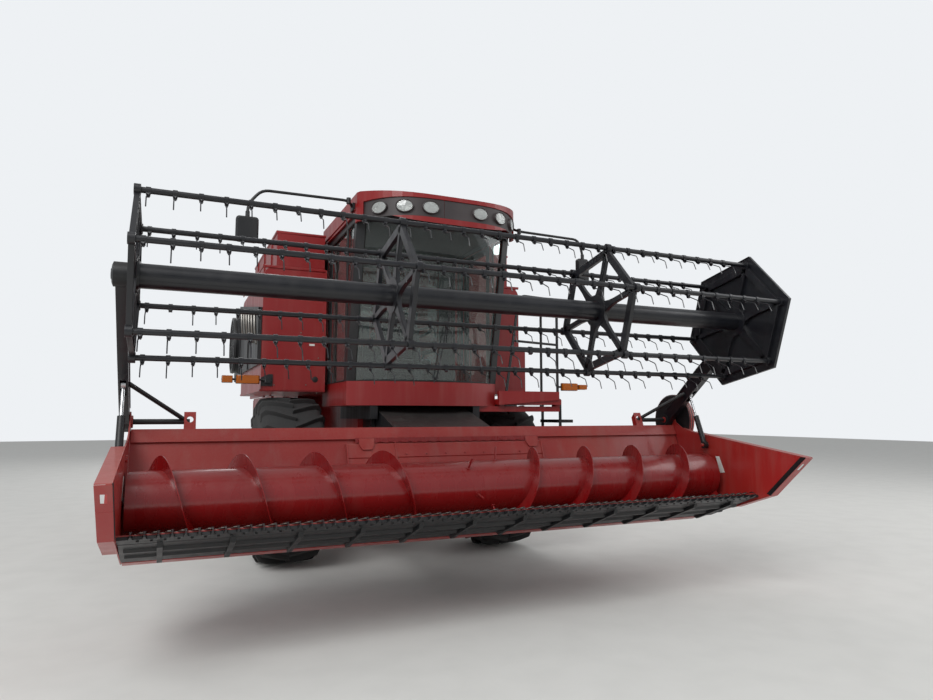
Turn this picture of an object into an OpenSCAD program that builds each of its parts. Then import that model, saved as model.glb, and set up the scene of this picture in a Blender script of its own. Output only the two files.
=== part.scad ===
// Combine harvester with a rigid grain header and a bat reel, header raised as it stands parked.
// +Z is up, the header points to -Y and the driver's left is +X. The origin is on the ground.
// Pieces of the header are drawn in the header's own frame: its knife edge is at 0, 0 and its floor is level.

/* [Running gear] */
// Distance between the front and the rear axle
wheelbase = 3600; // [3500:10:3700]
// Place of the front axle along the machine
front_axle_y = -850; // [-900:10:-800]
// Outer diameter of a drive tyre, to the tips of its lugs
tyre_d = 1800; // [1700:10:1850]
// Width of a drive tyre
tyre_w = 660; // [560:10:700]
// Diameter of a drive rim
rim_d = 813; // [760:1:860]
// Drive wheel's middle from the machine's middle
half_track = 1290; // [1250:10:1350]
// Outer diameter of a steered tyre
rear_tyre_d = 1260; // [1160:10:1300]
// Width of a steered tyre
rear_tyre_w = 380; // [320:10:420]
// Diameter of a steered rim
rear_rim_d = 610; // [560:1:640]
// Steered wheel's middle from the machine's middle
rear_half_track = 1250; // [1230:10:1300]
// Kingpin from the machine's middle
kingpin_x = 1000; // [980:5:1010]
// Radius of a drive stub shaft
stub_r = 70; // [60:1:80]
// Radius of a steered stub shaft
rear_stub_r = 45; // [38:1:50]
// Radius of a kingpin
kingpin_r = 30; // [25:1:35]
// Height of the front axle housing
axle_h = 260; // [220:5:280]
// Height of the rear axle beam
rear_beam_h = 180; // [160:5:200]

/* [Frame and body] */
// Frame rail's middle from the machine's middle
rail_x = 540; // [520:5:550]
// Width of a frame rail
rail_w = 90; // [70:5:100]
// Height of a frame rail
rail_h = 180; // [150:5:200]
// Half width of the threshing body
body_half_w = 620; // [610:5:640]
// Front face of the threshing body
body_front_y = -1400; // [-1415:5:-1380]
// Rear end of the threshing body
body_rear_y = 3300; // [3250:10:3350]
// Height of the engine deck's underside
deck_z = 2200; // [2150:10:2250]
// Half width of the engine deck
deck_half_w = 1300; // [1250:10:1340]
// Clearance between the drive tyres and the tank's underside
tyre_gap = 60; // [50:5:80]
// Rear end of the straw hood
hood_rear_y = 4520; // [4450:10:4560]
// Thickness of the straw hood's sheets
hood_t = 20; // [12:1:25]
// Radius of the tow hitch's pin hole
hitch_r = 16; // [12:1:20]

/* [Grain tank] */
// Half width of the tank over its side walls
tank_half_w = 1600; // [1580:10:1630]
// Height of the tank's top
tank_top_z = 3260; // [3220:10:3300]
// Radius of the bend between the tank's side walls and its top
tank_bend = 130; // [100:5:160]
// Front walls beside the cab
tank_front_y = -1000; // [-1030:5:-980]
// Rear wall of the tank
tank_rear_y = 1150; // [1100:10:1200]
// Thickness of the tank's walls
tank_t = 40; // [30:1:50]
// Height of the extension panels' top edge
extension_top_z = 3665; // [3620:5:3720]
// Half width of the extension over its side panels
extension_half_w = 1460; // [1430:10:1480]
// Front panels of the extension beside the cab
extension_front_y = -950; // [-970:10:-900]
// Thickness of the extension panels
extension_t = 25; // [15:1:30]

/* [Cab] */
// Half width of the cab
cab_half_w = 850; // [830:5:860]
// Front of the windscreen at its middle
cab_front_y = -1980; // [-2010:5:-1950]
// Windscreen's corners
cab_corner_y = -1800; // [-1820:5:-1780]
// Rear wall of the cab
cab_rear_y = -650; // [-660:5:-640]
// Underside of the cab's floor
cab_floor_z = 1700; // [1695:1:1720]
// Lower edge of the glass
sill_z = 1950; // [1920:5:1980]
// Underside of the roof
cab_top_z = 3610; // [3580:5:3640]
// Forward lean of the windscreen at its top
screen_lean = 350; // [300:10:380]
// Thickness of the cab's walls and posts
cab_t = 50; // [40:1:60]
// Width of a corner post
post_w = 70; // [60:1:90]
// Thickness of the glass
glass_t = 8; // [6:1:12]
// Height of the roof's crown over its underside
roof_h = 260; // [240:5:280]
// Reach of the roof's visor in front of the windscreen's foot
visor = 680; // [660:5:700]
// Height of the visor's fascia
visor_h = 280; // [260:5:300]
// How far the fascia's ends lie behind its middle
visor_sag = 450; // [420:5:480]
// Half width of the roof
roof_half_w = 880; // [870:1:890]
// Width of a roof lamp
lamp_w = 170; // [150:5:180]
// Height of a roof lamp
lamp_h = 125; // [110:5:135]
// Width of the door
door_w = 690; // [650:10:705]

/* [Header] */
// Width between the end sheets
header_w = 5180; // [5000:10:5250]
// Middle of the header from the machine's middle
header_x = -167; // [-180:1:-150]
// Pitch of the raised header
lift = 21; // [18:0.5:22]
// Place of the feeder pivot along the machine
pivot_y = -1680; // [-1690:5:-1670]
// Height of the feeder pivot
pivot_z = 1450; // [1440:5:1455]
// Knife edge to feeder pivot along the level header
pivot_reach = 1946; // [1900:2:1980]
// Feeder pivot above the knife edge of the level header
pivot_rise = 1349; // [1330:1:1360]
// Half width of the feeder house
feeder_half_w = 520; // [500:5:525]
// Radius of the feeder's rear drum housing
drum_r = 230; // [210:5:235]
// Radius of a feeder pivot pin
pivot_r = 50; // [40:1:60]
// Knife edge to the back sheet
trough_depth = 780; // [760:5:820]
// Height of the back sheet
back_h = 943; // [900:5:960]
// Thickness of the header's sheets
sheet_t = 8; // [5:1:10]
// Middle of the table auger behind the knife edge
auger_y = 470; // [460:2:480]
// Middle of the table auger above the knife edge
auger_z = 320; // [315:1:340]
// Radius of the auger's flights
flight_r = 305; // [290:1:308]
// Radius of the auger's tube
auger_r = 205; // [190:1:220]
// Pitch of the flights
flight_pitch = 530; // [480:5:600]
// Middle of the feed zone between the flights
feed_x = -300; // [-350:10:-250]
// Half width of the feed zone between the flights
feed_half_w = 330; // [300:10:380]
// Spacing of the guards and the knife sections
guard_pitch = 76.2; // [70:0.1:80]
// Length of a guard in front of the knife edge
guard_len = 60; // [50:1:70]

/* [Reel] */
// Arm pivot behind the knife edge
arm_y = 818; // [810:2:830]
// Arm pivot above the knife edge
arm_z = 1023; // [1015:1:1040]
// Length of a reel arm
arm_len = 1430; // [1400:5:1460]
// Rise of the raised arms over the level header
arm_rise = 18.7; // [17:0.1:20]
// Radius of the circle of the tine bars
bat_r = 525; // [500:5:540]
// Turn of the tine bars' circle
bat_turn = 39; // [0:1:59]
// Radius of the reel's main tube
reel_tube_r = 79; // [70:1:85]
// Radius of a tine bar
bar_r = 19; // [16:1:22]
// Spacing of the tines
tine_pitch = 150; // [130:1:170]
// Length of a tine below its bar
tine_len = 180; // [160:5:200]
// Reach of the tines' tips in front of their bar
tine_lead = 85; // [60:5:100]
// Thickness of a tine
tine_t = 8; // [6:1:10]

/* [Unloading tube] */
// Middle of the swing axis from the tank's side wall
unload_out = 155; // [150:1:180]
// Swing axis along the machine
unload_y = 475; // [450:5:500]
// Height of the tube's middle
unload_z = 3080; // [3060:5:3100]
// Radius of the tube
unload_r = 140; // [120:5:145]

/* [Hidden] */
$fn = 48;

red = [0.55, 0.05, 0.06];
black = [0.05, 0.05, 0.055];
dark = [0.12, 0.12, 0.13];
rubber = [0.1, 0.1, 0.1];
steel = [0.6, 0.6, 0.62];
fit = 0.05;      // radial clearance of a pin in its bore
seat_gap = 0.3;  // clearance of a moving piece from the piece it lies on

axle_z = tyre_d / 2;
rear_axle_z = rear_tyre_d / 2;
rear_axle_y = front_axle_y + wheelbase;
rail_z = axle_z + axle_h / 2;
rail_top = rail_z + rail_h;
cab_beam_h = 140;
body_front_top = cab_floor_z - cab_beam_h;
tank_z = tyre_d + tyre_gap;
deck_top = deck_z + 80;
cab_gap = 50;
recess_y = cab_rear_y + 50;

header_left = header_x + header_w / 2;
header_right = header_x - header_w / 2;
back_y = trough_depth + 15;

function arc(cx, cy, r, a0, a1, n) =
    [for (i = [0:n]) [cx + r * cos(a0 + (a1 - a0) * i / n), cy + r * sin(a0 + (a1 - a0) * i / n)]];
function turned(p, a) = [p[0] * cos(a) + p[1] * sin(a), -p[0] * sin(a) + p[1] * cos(a)];
// A point of the level header, given as y and z, at the raised header
function raised(p) = turned(p - [pivot_reach, pivot_rise], lift) + [pivot_y, pivot_z];

module on_header() {
    translate([0, pivot_y, pivot_z]) rotate([-lift, 0, 0])
        translate([0, -pivot_reach, -pivot_rise]) children();
}
module block(x0, x1, y0, y1, z0, z1) {
    translate([x0, y0, z0]) cube([x1 - x0, y1 - y0, z1 - z0]);
}
module both_sides() {
    children();
    mirror([1, 0, 0]) children();
}
// An outline given as y and z, drawn out from x0 to x1
module slab(points, x0, x1) {
    translate([x0, 0, 0]) rotate([90, 0, 90]) linear_extrude(x1 - x0) polygon(points);
}
module rod_x(r, x0, x1, y, z) {
    translate([x0, y, z]) rotate([0, 90, 0]) cylinder(r = r, h = x1 - x0);
}
module bar(a, b, r) {
    d = b - a;
    translate(a) rotate([0, acos(d[2] / norm(d)), atan2(d[1], d[0])]) cylinder(r = r, h = norm(d));
}
module tube_path(points, r) {
    for (i = [1:len(points) - 1]) bar(points[i - 1], points[i], r);
    for (i = [1:len(points) - 2]) translate(points[i]) sphere(r = r + 2);
}

// Frame, with the ears that carry the feeder, the beams that carry the cab and the tow hitch
cross_y = body_front_y + 200;
ear_x = feeder_half_w + 10;
ear_t = 30;
hitch_l = 260;
hitch_t = 40;
module frame() color(black) {
    both_sides() {
        block(rail_x - rail_w / 2, rail_x + rail_w / 2, body_front_y, body_rear_y, rail_z, rail_top);
        cab_beam();
        feeder_ear();
        rear_pedestal();
    }
    for (y = [cross_y, body_rear_y - rail_w]) block(-rail_x, rail_x, y, y + rail_w, rail_z, rail_top);
    difference() {
        block(-70, 70, body_rear_y - rail_w, body_rear_y + hitch_l, rail_z, rail_z + hitch_t);
        translate([0, body_rear_y + hitch_l - 60, rail_z - 1]) cylinder(r = hitch_r, h = hitch_t + 2);
    }
}
module cab_beam() {
    block(ear_x + ear_t - 20, body_half_w, cab_corner_y - 80, recess_y, body_front_top, cab_floor_z);
}
module feeder_ear() {
    ear = [[body_front_y, rail_top], [body_front_y, body_front_top],
           [pivot_y - 60, body_front_top], [pivot_y - 100, pivot_z], [pivot_y, pivot_z - 110]];
    difference() {
        slab(ear, ear_x, ear_x + ear_t);
        rod_x(pivot_r + fit, ear_x - 1, ear_x + ear_t + 1, pivot_y, pivot_z);
    }
    block(rail_x - rail_w / 2, rail_x + rail_w / 2, body_front_y - 60, body_front_y, rail_z, rail_top);
}
module rear_pedestal() {
    block(rail_x - rail_w / 2, rail_x + rail_w / 2, rear_axle_y - 100, rear_axle_y + 100,
          rear_axle_z + rear_beam_h / 2, rail_z);
}

// Front axle housing with its final drives and the stub shafts that carry the drive wheels
final_x0 = half_track - tyre_w / 2 - 220;
final_x1 = half_track - tyre_w / 2 - 20;
final_r = 240;
disc_t = 20;
boss_w = 90;
lift_base_y = front_axle_y - 190;
lift_base_z = axle_z - 200;
lift_x = feeder_half_w - 100;
module front_axle() color(dark) {
    block(-final_x0, final_x0, front_axle_y - 130, front_axle_y + 130, rail_z - axle_h, rail_z);
    both_sides() {
        rod_x(final_r, final_x0, final_x1, front_axle_y, axle_z);
        rod_x(stub_r, final_x1, half_track + boss_w / 2 + 15, front_axle_y, axle_z);
        lift_bracket();
    }
}
lift_pin_r = 25;
lug_t = 25;
module lift_bracket() {
    for (x = [lift_x - 60 - lug_t, lift_x + 60])
        block(x, x + lug_t, lift_base_y - 40, front_axle_y - 100, lift_base_z - 60, axle_z - 20);
    rod_x(lift_pin_r, lift_x - 60, lift_x + 60, lift_base_y, lift_base_z);
}

module drive_wheel_place(side) {
    translate([side * half_track, front_axle_y, axle_z]) rotate([0, 90, 0]) children();
}
// Ring of a tyre: its bead sits on the rim, its shoulders are bevelled
module tyre_ring(d, w, bead_d) {
    r = d / 2;
    b = bead_d / 2;
    wall = (r - b) * 0.45;
    rotate_extrude() polygon([
        [b, -0.41 * w], [b + wall, -0.5 * w], [r - 0.12 * w, -0.5 * w], [r, -0.42 * w],
        [r, 0.42 * w], [r - 0.12 * w, 0.5 * w], [b + wall, 0.5 * w], [b, 0.41 * w]
    ]);
}
// Rim with its disc and a bored boss
module rim_ring(bead_d, w, bore_r, boss_r) {
    r = bead_d / 2;
    difference() {
        cylinder(r = r - seat_gap, h = 0.84 * w, center = true);
        cylinder(r = r - 16, h = w, center = true);
    }
    difference() {
        union() {
            cylinder(r = r - 10, h = disc_t, center = true);
            cylinder(r = boss_r, h = boss_w, center = true);
        }
        cylinder(r = bore_r, h = boss_w + 2, center = true);
    }
}
module tyre_front(side) color(rubber) drive_wheel_place(side) tyre_ring(tyre_d, tyre_w, rim_d);
module rim_front(side) color(red) drive_wheel_place(side) rim_ring(rim_d, tyre_w, stub_r + fit, stub_r + 60);

module steered_wheel_place(side) {
    translate([side * rear_half_track, rear_axle_y, rear_axle_z]) rotate([0, 90, 0]) children();
}
module tyre_rear(side) color(rubber) steered_wheel_place(side)
    tyre_ring(rear_tyre_d, rear_tyre_w, rear_rim_d);
module rim_rear(side) color(red) steered_wheel_place(side)
    rim_ring(rear_rim_d, rear_tyre_w, rear_stub_r + fit, rear_stub_r + 40);

// Rear axle beam, forked at its ends round the knuckles
fork_t = 30;
fork_gap = 5;
knuckle_r = 60;
module rear_axle() color(dark) {
    half_h = rear_beam_h / 2;
    fork_x = kingpin_x - knuckle_r - 10;
    block(-fork_x, fork_x, rear_axle_y - 80, rear_axle_y + 80, rear_axle_z - half_h, rear_axle_z + half_h);
    both_sides() {
        difference() {
            for (z = [rear_axle_z - half_h, rear_axle_z + half_h - fork_t])
                block(fork_x - 20, kingpin_x + knuckle_r, rear_axle_y - 70, rear_axle_y + 70, z, z + fork_t);
            translate([kingpin_x, rear_axle_y, rear_axle_z - half_h - 1])
                cylinder(r = kingpin_r + fit, h = rear_beam_h + 2);
        }
    }
}
module knuckle(side) color(dark) mirror([side < 0 ? 1 : 0, 0, 0]) {
    half_h = rear_beam_h / 2;
    translate([kingpin_x, rear_axle_y, rear_axle_z]) {
        cylinder(r = knuckle_r, h = rear_beam_h - 2 * fork_t - 2 * fork_gap, center = true);
        cylinder(r = kingpin_r, h = rear_beam_h + 10, center = true);
    }
    rod_x(rear_stub_r, kingpin_x, rear_half_track + boss_w / 2 + 15, rear_axle_y, rear_axle_z);
}

// Threshing and cleaning body between the frame rails and the tank
fan_y = front_axle_y + 480;
fan_z = rail_z + 60;
fan_r = 240;
belly_x = rail_x - rail_w / 2;
module separator_body() color(red) {
    slab([
        [body_front_y, rail_top], [body_front_y, body_front_top], [recess_y, body_front_top],
        [recess_y, tank_z], [tank_rear_y, tank_z], [tank_rear_y, deck_z], [body_rear_y, deck_z],
        [body_rear_y, rail_top]
    ], -body_half_w, body_half_w);
    block(-belly_x, belly_x, cross_y + rail_w, body_rear_y - rail_w, rail_z, rail_top);
    rod_x(fan_r, -belly_x + 15, belly_x - 15, fan_y, fan_z);
}

// Clean grain elevator on the right and returns elevator on the left
module elevators() color(red) both_sides()
    slab([[620, rail_top], [820, tank_z], [1080, tank_z], [880, rail_top]], body_half_w, body_half_w + 260);

// Grain tank: saddle sides over the drive wheels and an open hopper in the middle
hopper_wall = 125;
saddle_top = 2465;
saddle_out = 100;
saddle_bend = 60;
module grain_tank() color(red) {
    bend = arc(tank_half_w - tank_bend, tank_top_z - tank_bend, tank_bend, 0, 90, 6);
    outer = concat([[0, tank_z], [tank_half_w, tank_z]], bend, [[0, tank_top_z]]);
    hopper_w = extension_half_w - extension_t - 60;
    hopper_y0 = recess_y + hopper_wall;
    hopper = [[0, 2050], [350, 2050], [hopper_w, 2850], [hopper_w, tank_top_z + 1], [0, tank_top_z + 1]];
    difference() {
        both_sides() translate([0, tank_rear_y, 0]) rotate([90, 0, 0])
            linear_extrude(tank_rear_y - tank_front_y) polygon(outer);
        both_sides() translate([0, tank_rear_y - tank_t, 0]) rotate([90, 0, 0])
            linear_extrude(tank_rear_y - tank_t - hopper_y0) polygon(hopper);
        block(-cab_half_w - cab_gap, cab_half_w + cab_gap, tank_front_y - 1, recess_y,
              tank_z - 1, tank_top_z + 1);
    }
    // Cover of the elevator's head low on the left side
    cover_x = tank_half_w + saddle_out;
    translate([0, recess_y + 300, 0]) rotate([90, 0, 0]) linear_extrude(recess_y + 290 - tank_front_y)
        polygon(concat([[tank_half_w - 10, tank_z + 45], [cover_x, tank_z + 45]],
            arc(cover_x - saddle_bend, saddle_top - saddle_bend, saddle_bend, 0, 90, 4),
            [[tank_half_w - 10, saddle_top]]));
}
// Panels that raise the tank's open top, folded round the cab's recess
module extension_plan(in) {
    w = extension_half_w - in;
    g = cab_half_w + cab_gap + 20 + in;
    y0 = extension_front_y + in;
    y1 = tank_rear_y - 10 - in;
    yr = recess_y + 10 + in;
    polygon([[-w, y1], [-w, y0], [-g, y0], [-g, yr], [g, yr], [g, y0], [w, y0], [w, y1]]);
}
module tank_extension() color(red) translate([0, 0, tank_top_z]) difference() {
    linear_extrude(extension_top_z - tank_top_z) extension_plan(0);
    translate([0, 0, -1]) linear_extrude(extension_top_z - tank_top_z + 2) extension_plan(extension_t);
}

// Plan of the cab, drawn in by an offset; its front is an arc through both corners
screen_sag = cab_corner_y - cab_front_y;
screen_r = (cab_half_w * cab_half_w + screen_sag * screen_sag) / (2 * screen_sag);
module cab_plan(inset) {
    intersection() {
        translate([-cab_half_w + inset, cab_front_y])
            square([2 * (cab_half_w - inset), cab_rear_y - cab_front_y - inset]);
        translate([0, cab_front_y + screen_r]) circle(r = screen_r - inset, $fn = 96);
    }
}
// Upper part of the cab, whose front is part of a leaning cylinder, set back by a step at the sill
lean_a = atan(screen_lean / (cab_top_z - sill_z));
lean_sag = screen_sag * cos(lean_a);
lean_r = (cab_half_w * cab_half_w + lean_sag * lean_sag) / (2 * lean_sag);
sill_step = 3;
module leaning(inset, z0, z1) {
    intersection() {
        block(-cab_half_w + inset, cab_half_w - inset, cab_front_y - screen_lean - 100, cab_rear_y - inset,
              z0, z1);
        translate([0, cab_front_y + sill_step + lean_r / cos(lean_a), sill_z]) rotate([lean_a, 0, 0])
            cylinder(r = lean_r - inset, h = 6000, center = true);
    }
}
door_y0 = cab_corner_y + post_w;
door_y1 = door_y0 + door_w;
door_z0 = cab_floor_z + 100;
door_z1 = cab_top_z - 60;
quarter_y1 = cab_rear_y - 120;
screen_half_w = cab_half_w - post_w;
hinge_x = cab_half_w + 20;
hinge_y = door_y0 + 23;
hinge_h = 60;
hinge_pin_r = 8;
hinge_zs = [door_z0 + 200, door_z1 - 260];
// Three-cornered window between the leaning post and the door
side_window = [[door_y0 - 40, sill_z + 380], [door_y0 - 40, cab_top_z - 60],
               [cab_corner_y - screen_lean + 90, cab_top_z - 60]];
// Plates over and under each hinge of the door, with the pin between them
module hinge_plates(z) {
    for (z0 = [z - 12 - seat_gap, z + hinge_h + seat_gap]) {
        block(cab_half_w - 5, hinge_x, hinge_y - 60, door_y0 - 1, z0, z0 + 12);
        block(hinge_x - 12, hinge_x + 16, hinge_y - 60, hinge_y + 14, z0, z0 + 12);
    }
    translate([hinge_x, hinge_y, z - 12]) cylinder(r = hinge_pin_r, h = hinge_h + 24);
}
module cab_shell() color(red) {
    for (z = hinge_zs) hinge_plates(z);
    difference() {
        union() {
            translate([0, 0, cab_floor_z]) linear_extrude(sill_z - cab_floor_z) cab_plan(0);
            leaning(0, sill_z, cab_top_z);
        }
        translate([0, 0, door_z0]) linear_extrude(sill_z - door_z0 + 1) cab_plan(cab_t);
        leaning(cab_t, sill_z, cab_top_z + 2);
        block(-screen_half_w, screen_half_w, cab_front_y - screen_lean - 1, cab_corner_y + 100,
              sill_z, cab_top_z - 40);
        both_sides() slab(side_window, cab_half_w - cab_t - 1, cab_half_w + 1);
        block(-cab_half_w - 1, -cab_half_w + cab_t + 1, door_y0, door_y1, sill_z, cab_top_z - 60);
        block(cab_half_w - cab_t - 1, cab_half_w + 1, door_y0, door_y1, door_z0, door_z1);
        both_sides() block(cab_half_w - cab_t - 1, cab_half_w + 1, door_y1 + post_w, quarter_y1,
                           sill_z, cab_top_z - 60);
        block(-600, 600, cab_rear_y - cab_t - 1, cab_rear_y + 1, sill_z + 250, cab_top_z - 200);
    }
}
module cab_glass() color([0.25, 0.32, 0.34, 0.5]) {
    intersection() {
        difference() {
            leaning(15, sill_z, cab_top_z);
            leaning(15 + glass_t, sill_z - 1, cab_top_z + 1);
        }
        block(-screen_half_w, screen_half_w, cab_front_y - screen_lean, cab_corner_y + 100,
              sill_z, cab_top_z - 40);
    }
    both_sides() slab(side_window, cab_half_w - 15 - glass_t, cab_half_w - 15);
    block(-cab_half_w + 15, -cab_half_w + 15 + glass_t, door_y0, door_y1, sill_z, cab_top_z - 60);
    both_sides() block(cab_half_w - 15 - glass_t, cab_half_w - 15, door_y1 + post_w, quarter_y1,
                       sill_z, cab_top_z - 60);
    block(-600, 600, cab_rear_y - 15 - glass_t, cab_rear_y - 15, sill_z + 250, cab_top_z - 200);
}
// Roof with its crown and a visor, whose curved fascia has a recess for the lamps
visor_y = cab_front_y - visor;
visor_z = cab_top_z - 155;
fascia_in = 15;
fascia_z = visor_z + 55;
fascia_h = visor_h - 95;
visor_turn = 7.5;
function visor_point(i, w) = [w * sin(visor_turn * i), visor_sag * pow(sin(visor_turn * i), 4)];
module visor_plan(in) {
    w = roof_half_w - in;
    polygon(concat([for (i = [-12:12]) visor_point(i, w) + [0, visor_y + in]],
                   [[w, cab_rear_y - in], [-w, cab_rear_y - in]]));
}
module cab_roof() color(red) difference() {
    intersection() {
        translate([0, 0, visor_z]) linear_extrude(cab_top_z + roof_h - visor_z) visor_plan(0);
        slab([[visor_y - 1, visor_z], [visor_y - 1, visor_z + visor_h], [cab_corner_y - 100, cab_top_z + roof_h],
              [cab_rear_y + 1, cab_top_z + roof_h - 20], [cab_rear_y + 1, cab_top_z],
              [cab_front_y - screen_lean - 10, cab_top_z]], -roof_half_w - 1, roof_half_w + 1);
        translate([0, cab_rear_y + 100, cab_top_z + roof_h - 6000]) rotate([90, 0, 0])
            cylinder(r = 6000, h = 3000, $fn = 360);
    }
    translate([0, 0, fascia_z]) linear_extrude(fascia_h) difference() {
        translate([-roof_half_w - 1, visor_y - 1]) square([2 * roof_half_w + 2, visor_sag + 60]);
        visor_plan(fascia_in);
    }
}
lamp_xs = [264, 509, 710];
lamp_z = fascia_z + fascia_h / 2;
module roof_lamps() color([0.9, 0.9, 0.85]) both_sides() for (x = lamp_xs) {
    w = roof_half_w - fascia_in;
    // Each lamp stands flat on the side of the plan that it is in front of
    i = floor(asin(x / w) / visor_turn);
    a = visor_point(i, w);
    way = visor_point(i + 1, w) - a;
    slope = way[1] / way[0];
    translate([x, visor_y + fascia_in + a[1] + slope * (x - a[0]) - seat_gap, lamp_z])
        rotate([0, 0, atan(slope)]) rotate([90, 0, 0]) linear_extrude(30)
            polygon([for (t = [0:15:345]) [lamp_w / 2 * cos(t), lamp_h / 2 * sin(t)]]);
}
// Operator's seat on its box
seat_y = -1150;
module seat() color([0.25, 0.25, 0.27]) {
    block(-200, 200, seat_y - 180, seat_y + 200, door_z0, door_z0 + 330);
    block(-260, 260, seat_y - 270, seat_y + 250, door_z0 + 330, door_z0 + 450);
    slab([[seat_y + 150, door_z0 + 450], [seat_y + 250, door_z0 + 450], [seat_y + 330, door_z0 + 1080],
          [seat_y + 240, door_z0 + 1080]], -240, 240);
}
// Steering column with its wheel, and the side console
column_y = seat_y - 480;
module cab_controls() color(black) {
    top = [0, column_y + 150, door_z0 + 760];
    block(-80, 80, column_y - 70, column_y + 90, door_z0, door_z0 + 30);
    bar([0, column_y, door_z0 + 20], top, 40);
    translate(top) rotate([-20, 0, 0]) {
        rotate_extrude() translate([190, 0]) circle(r = 15, $fn = 24);
        for (a = [0, 120, 240]) rotate([0, 0, a + 90]) rotate([0, 90, 0]) cylinder(r = 9, h = 190);
    }
    block(-600, -320, seat_y - 350, seat_y + 250, door_z0, door_z0 + 560);
}
// Cab door, hinged at its front edge
module cab_door() color(red) {
    difference() {
        block(cab_half_w - cab_t + 6, cab_half_w - 6, door_y0 + 6, door_y1 - 6, door_z0 + 6, door_z1 - 6);
        block(cab_half_w - cab_t, cab_half_w, door_y0 + 66, door_y1 - 66, sill_z + 10, door_z1 - 66);
    }
    for (z = hinge_zs) difference() {
        union() {
            translate([hinge_x, hinge_y, z]) cylinder(r = 16, h = hinge_h);
            block(cab_half_w - 10, hinge_x, hinge_y - 4, hinge_y + 14, z, z + hinge_h);
        }
        translate([hinge_x, hinge_y, z - 1]) cylinder(r = hinge_pin_r + fit, h = hinge_h + 2);
    }
}
module door_glass() color([0.25, 0.32, 0.34, 0.5])
    block(cab_half_w - 25 - glass_t, cab_half_w - 25, door_y0 + 66, door_y1 - 66,
          sill_z + 10, door_z1 - 66);

// Operator's platform on the left and its ladder and rails
deck_y0 = cab_corner_y - 100;
deck_y1 = pivot_y + 360;
deck_x1 = half_track + tyre_w / 2 + 60;
platform_z = 1720;
platform_h = 60;
board_t = 40;
board_h = 150;
module platform() color(red) {
    block(cab_half_w + 2, deck_x1, deck_y0 + 20, deck_y1, platform_z, platform_z + platform_h);
    translate([0, deck_y0 + board_t, 0]) rotate([90, 0, 0]) linear_extrude(board_t)
        polygon([[cab_half_w + 2, platform_z - 6], [deck_x1 - board_t, platform_z + 55],
                 [deck_x1 - board_t, platform_z + board_h], [cab_half_w + 2, platform_z + board_h]]);
    block(body_half_w, deck_x1, deck_y0 + 60, deck_y0 + 140, platform_z - 80, platform_z - 20);
    for (x = [cab_half_w + 40, deck_x1 - 60])
        block(x, x + 60, deck_y0 + 60, deck_y0 + 140, platform_z - 20, platform_z);
}
rail_r = 16;
rail_outer_x = deck_x1 - 25;
rail_y = deck_y0 + board_t + rail_r + 6;
rail_top_z = platform_z + 1260;
rail_mid_z = platform_z + 730;
foot_h = 10;
module ladder_and_rails() color(black) {
    top = platform_z + platform_h;
    inner_x = cab_half_w + 115;
    foot = top + foot_h;
    tube_path([[inner_x, rail_y, foot], [inner_x + 177, rail_y, rail_top_z - 50],
               [inner_x + 230, rail_y, rail_top_z], [rail_outer_x + 40, rail_y, rail_top_z - 20],
               [rail_outer_x, rail_y, rail_top_z - 100], [rail_outer_x, rail_y, foot]], rail_r);
    for (p = [[inner_x, rail_y + 8], [rail_outer_x, rail_y], [rail_outer_x, deck_y1 - 150]])
        translate([p[0], p[1], top + seat_gap]) cylinder(r = rail_r + 6, h = foot_h + 4);
    tube_path([[inner_x + 107, rail_y, rail_mid_z], [rail_outer_x, rail_y, rail_mid_z - 25]], rail_r);
    tube_path([[rail_outer_x, deck_y1 - 150, foot], [rail_outer_x, deck_y1 - 150, rail_top_z - 100],
               [rail_outer_x, rail_y, rail_top_z - 100]], rail_r);
    for (y = [deck_y0 + 80, deck_y0 + 480])
        block(deck_x1, deck_x1 + 40, y, y + 30, 620, top);
    for (i = [0:3])
        block(deck_x1, deck_x1 + 200, deck_y0 + 80, deck_y0 + 510, 640 + 290 * i, 680 + 290 * i);
}
// Arms that carry the mirrors and the amber lamps, with the mirror heads
mirror_y = cab_front_y - 220;
arm_z0 = cab_top_z + 75;
// Side, the head's middle across and up, its half width and height, and its arm's bend across and up
mirrors = [[-1, tank_half_w + 308, cab_top_z - 297, 101, 121, tank_half_w + 187, cab_top_z + 93],
           [1, tank_half_w + 187, cab_top_z - 365, 76, 151, tank_half_w + 132, cab_top_z + 4]];
lamp_bar_r = 12;
bracket_x = tank_half_w - 125;
left_bar_z = platform_z + 210;
right_bar_z = tank_z + 122;
module mirror_and_lamp_arms() color(black) {
    for (m = mirrors) {
        foot_x = m[0] * (roof_half_w + 14);
        block(foot_x - 14, foot_x + 14, mirror_y + 320, mirror_y + 400, arm_z0 - 40, arm_z0 + 40);
        head_x = m[0] * m[1];
        tube_path([[foot_x, mirror_y + 360, arm_z0], [foot_x + m[0] * 66, mirror_y, m[6] + 40],
                   [m[0] * m[5], mirror_y, m[6]], [head_x, mirror_y, m[6] - 150], [head_x, mirror_y, m[2]]], 14);
        block(head_x - m[3], head_x + m[3], mirror_y - 35, mirror_y + 35, m[2] - m[4], m[2] + m[4]);
    }
    bar([rail_outer_x + rail_r + seat_gap, rail_y, left_bar_z], [lamps[3][1], rail_y, left_bar_z],
        lamp_bar_r);
    block(-tank_half_w, -bracket_x, tank_front_y - 60, tank_front_y, right_bar_z - 65, right_bar_z + 65);
    bar([-bracket_x - 20, tank_front_y - 30, right_bar_z], [lamps[1][0], tank_front_y - 30, right_bar_z],
        lamp_bar_r);
}
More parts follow.
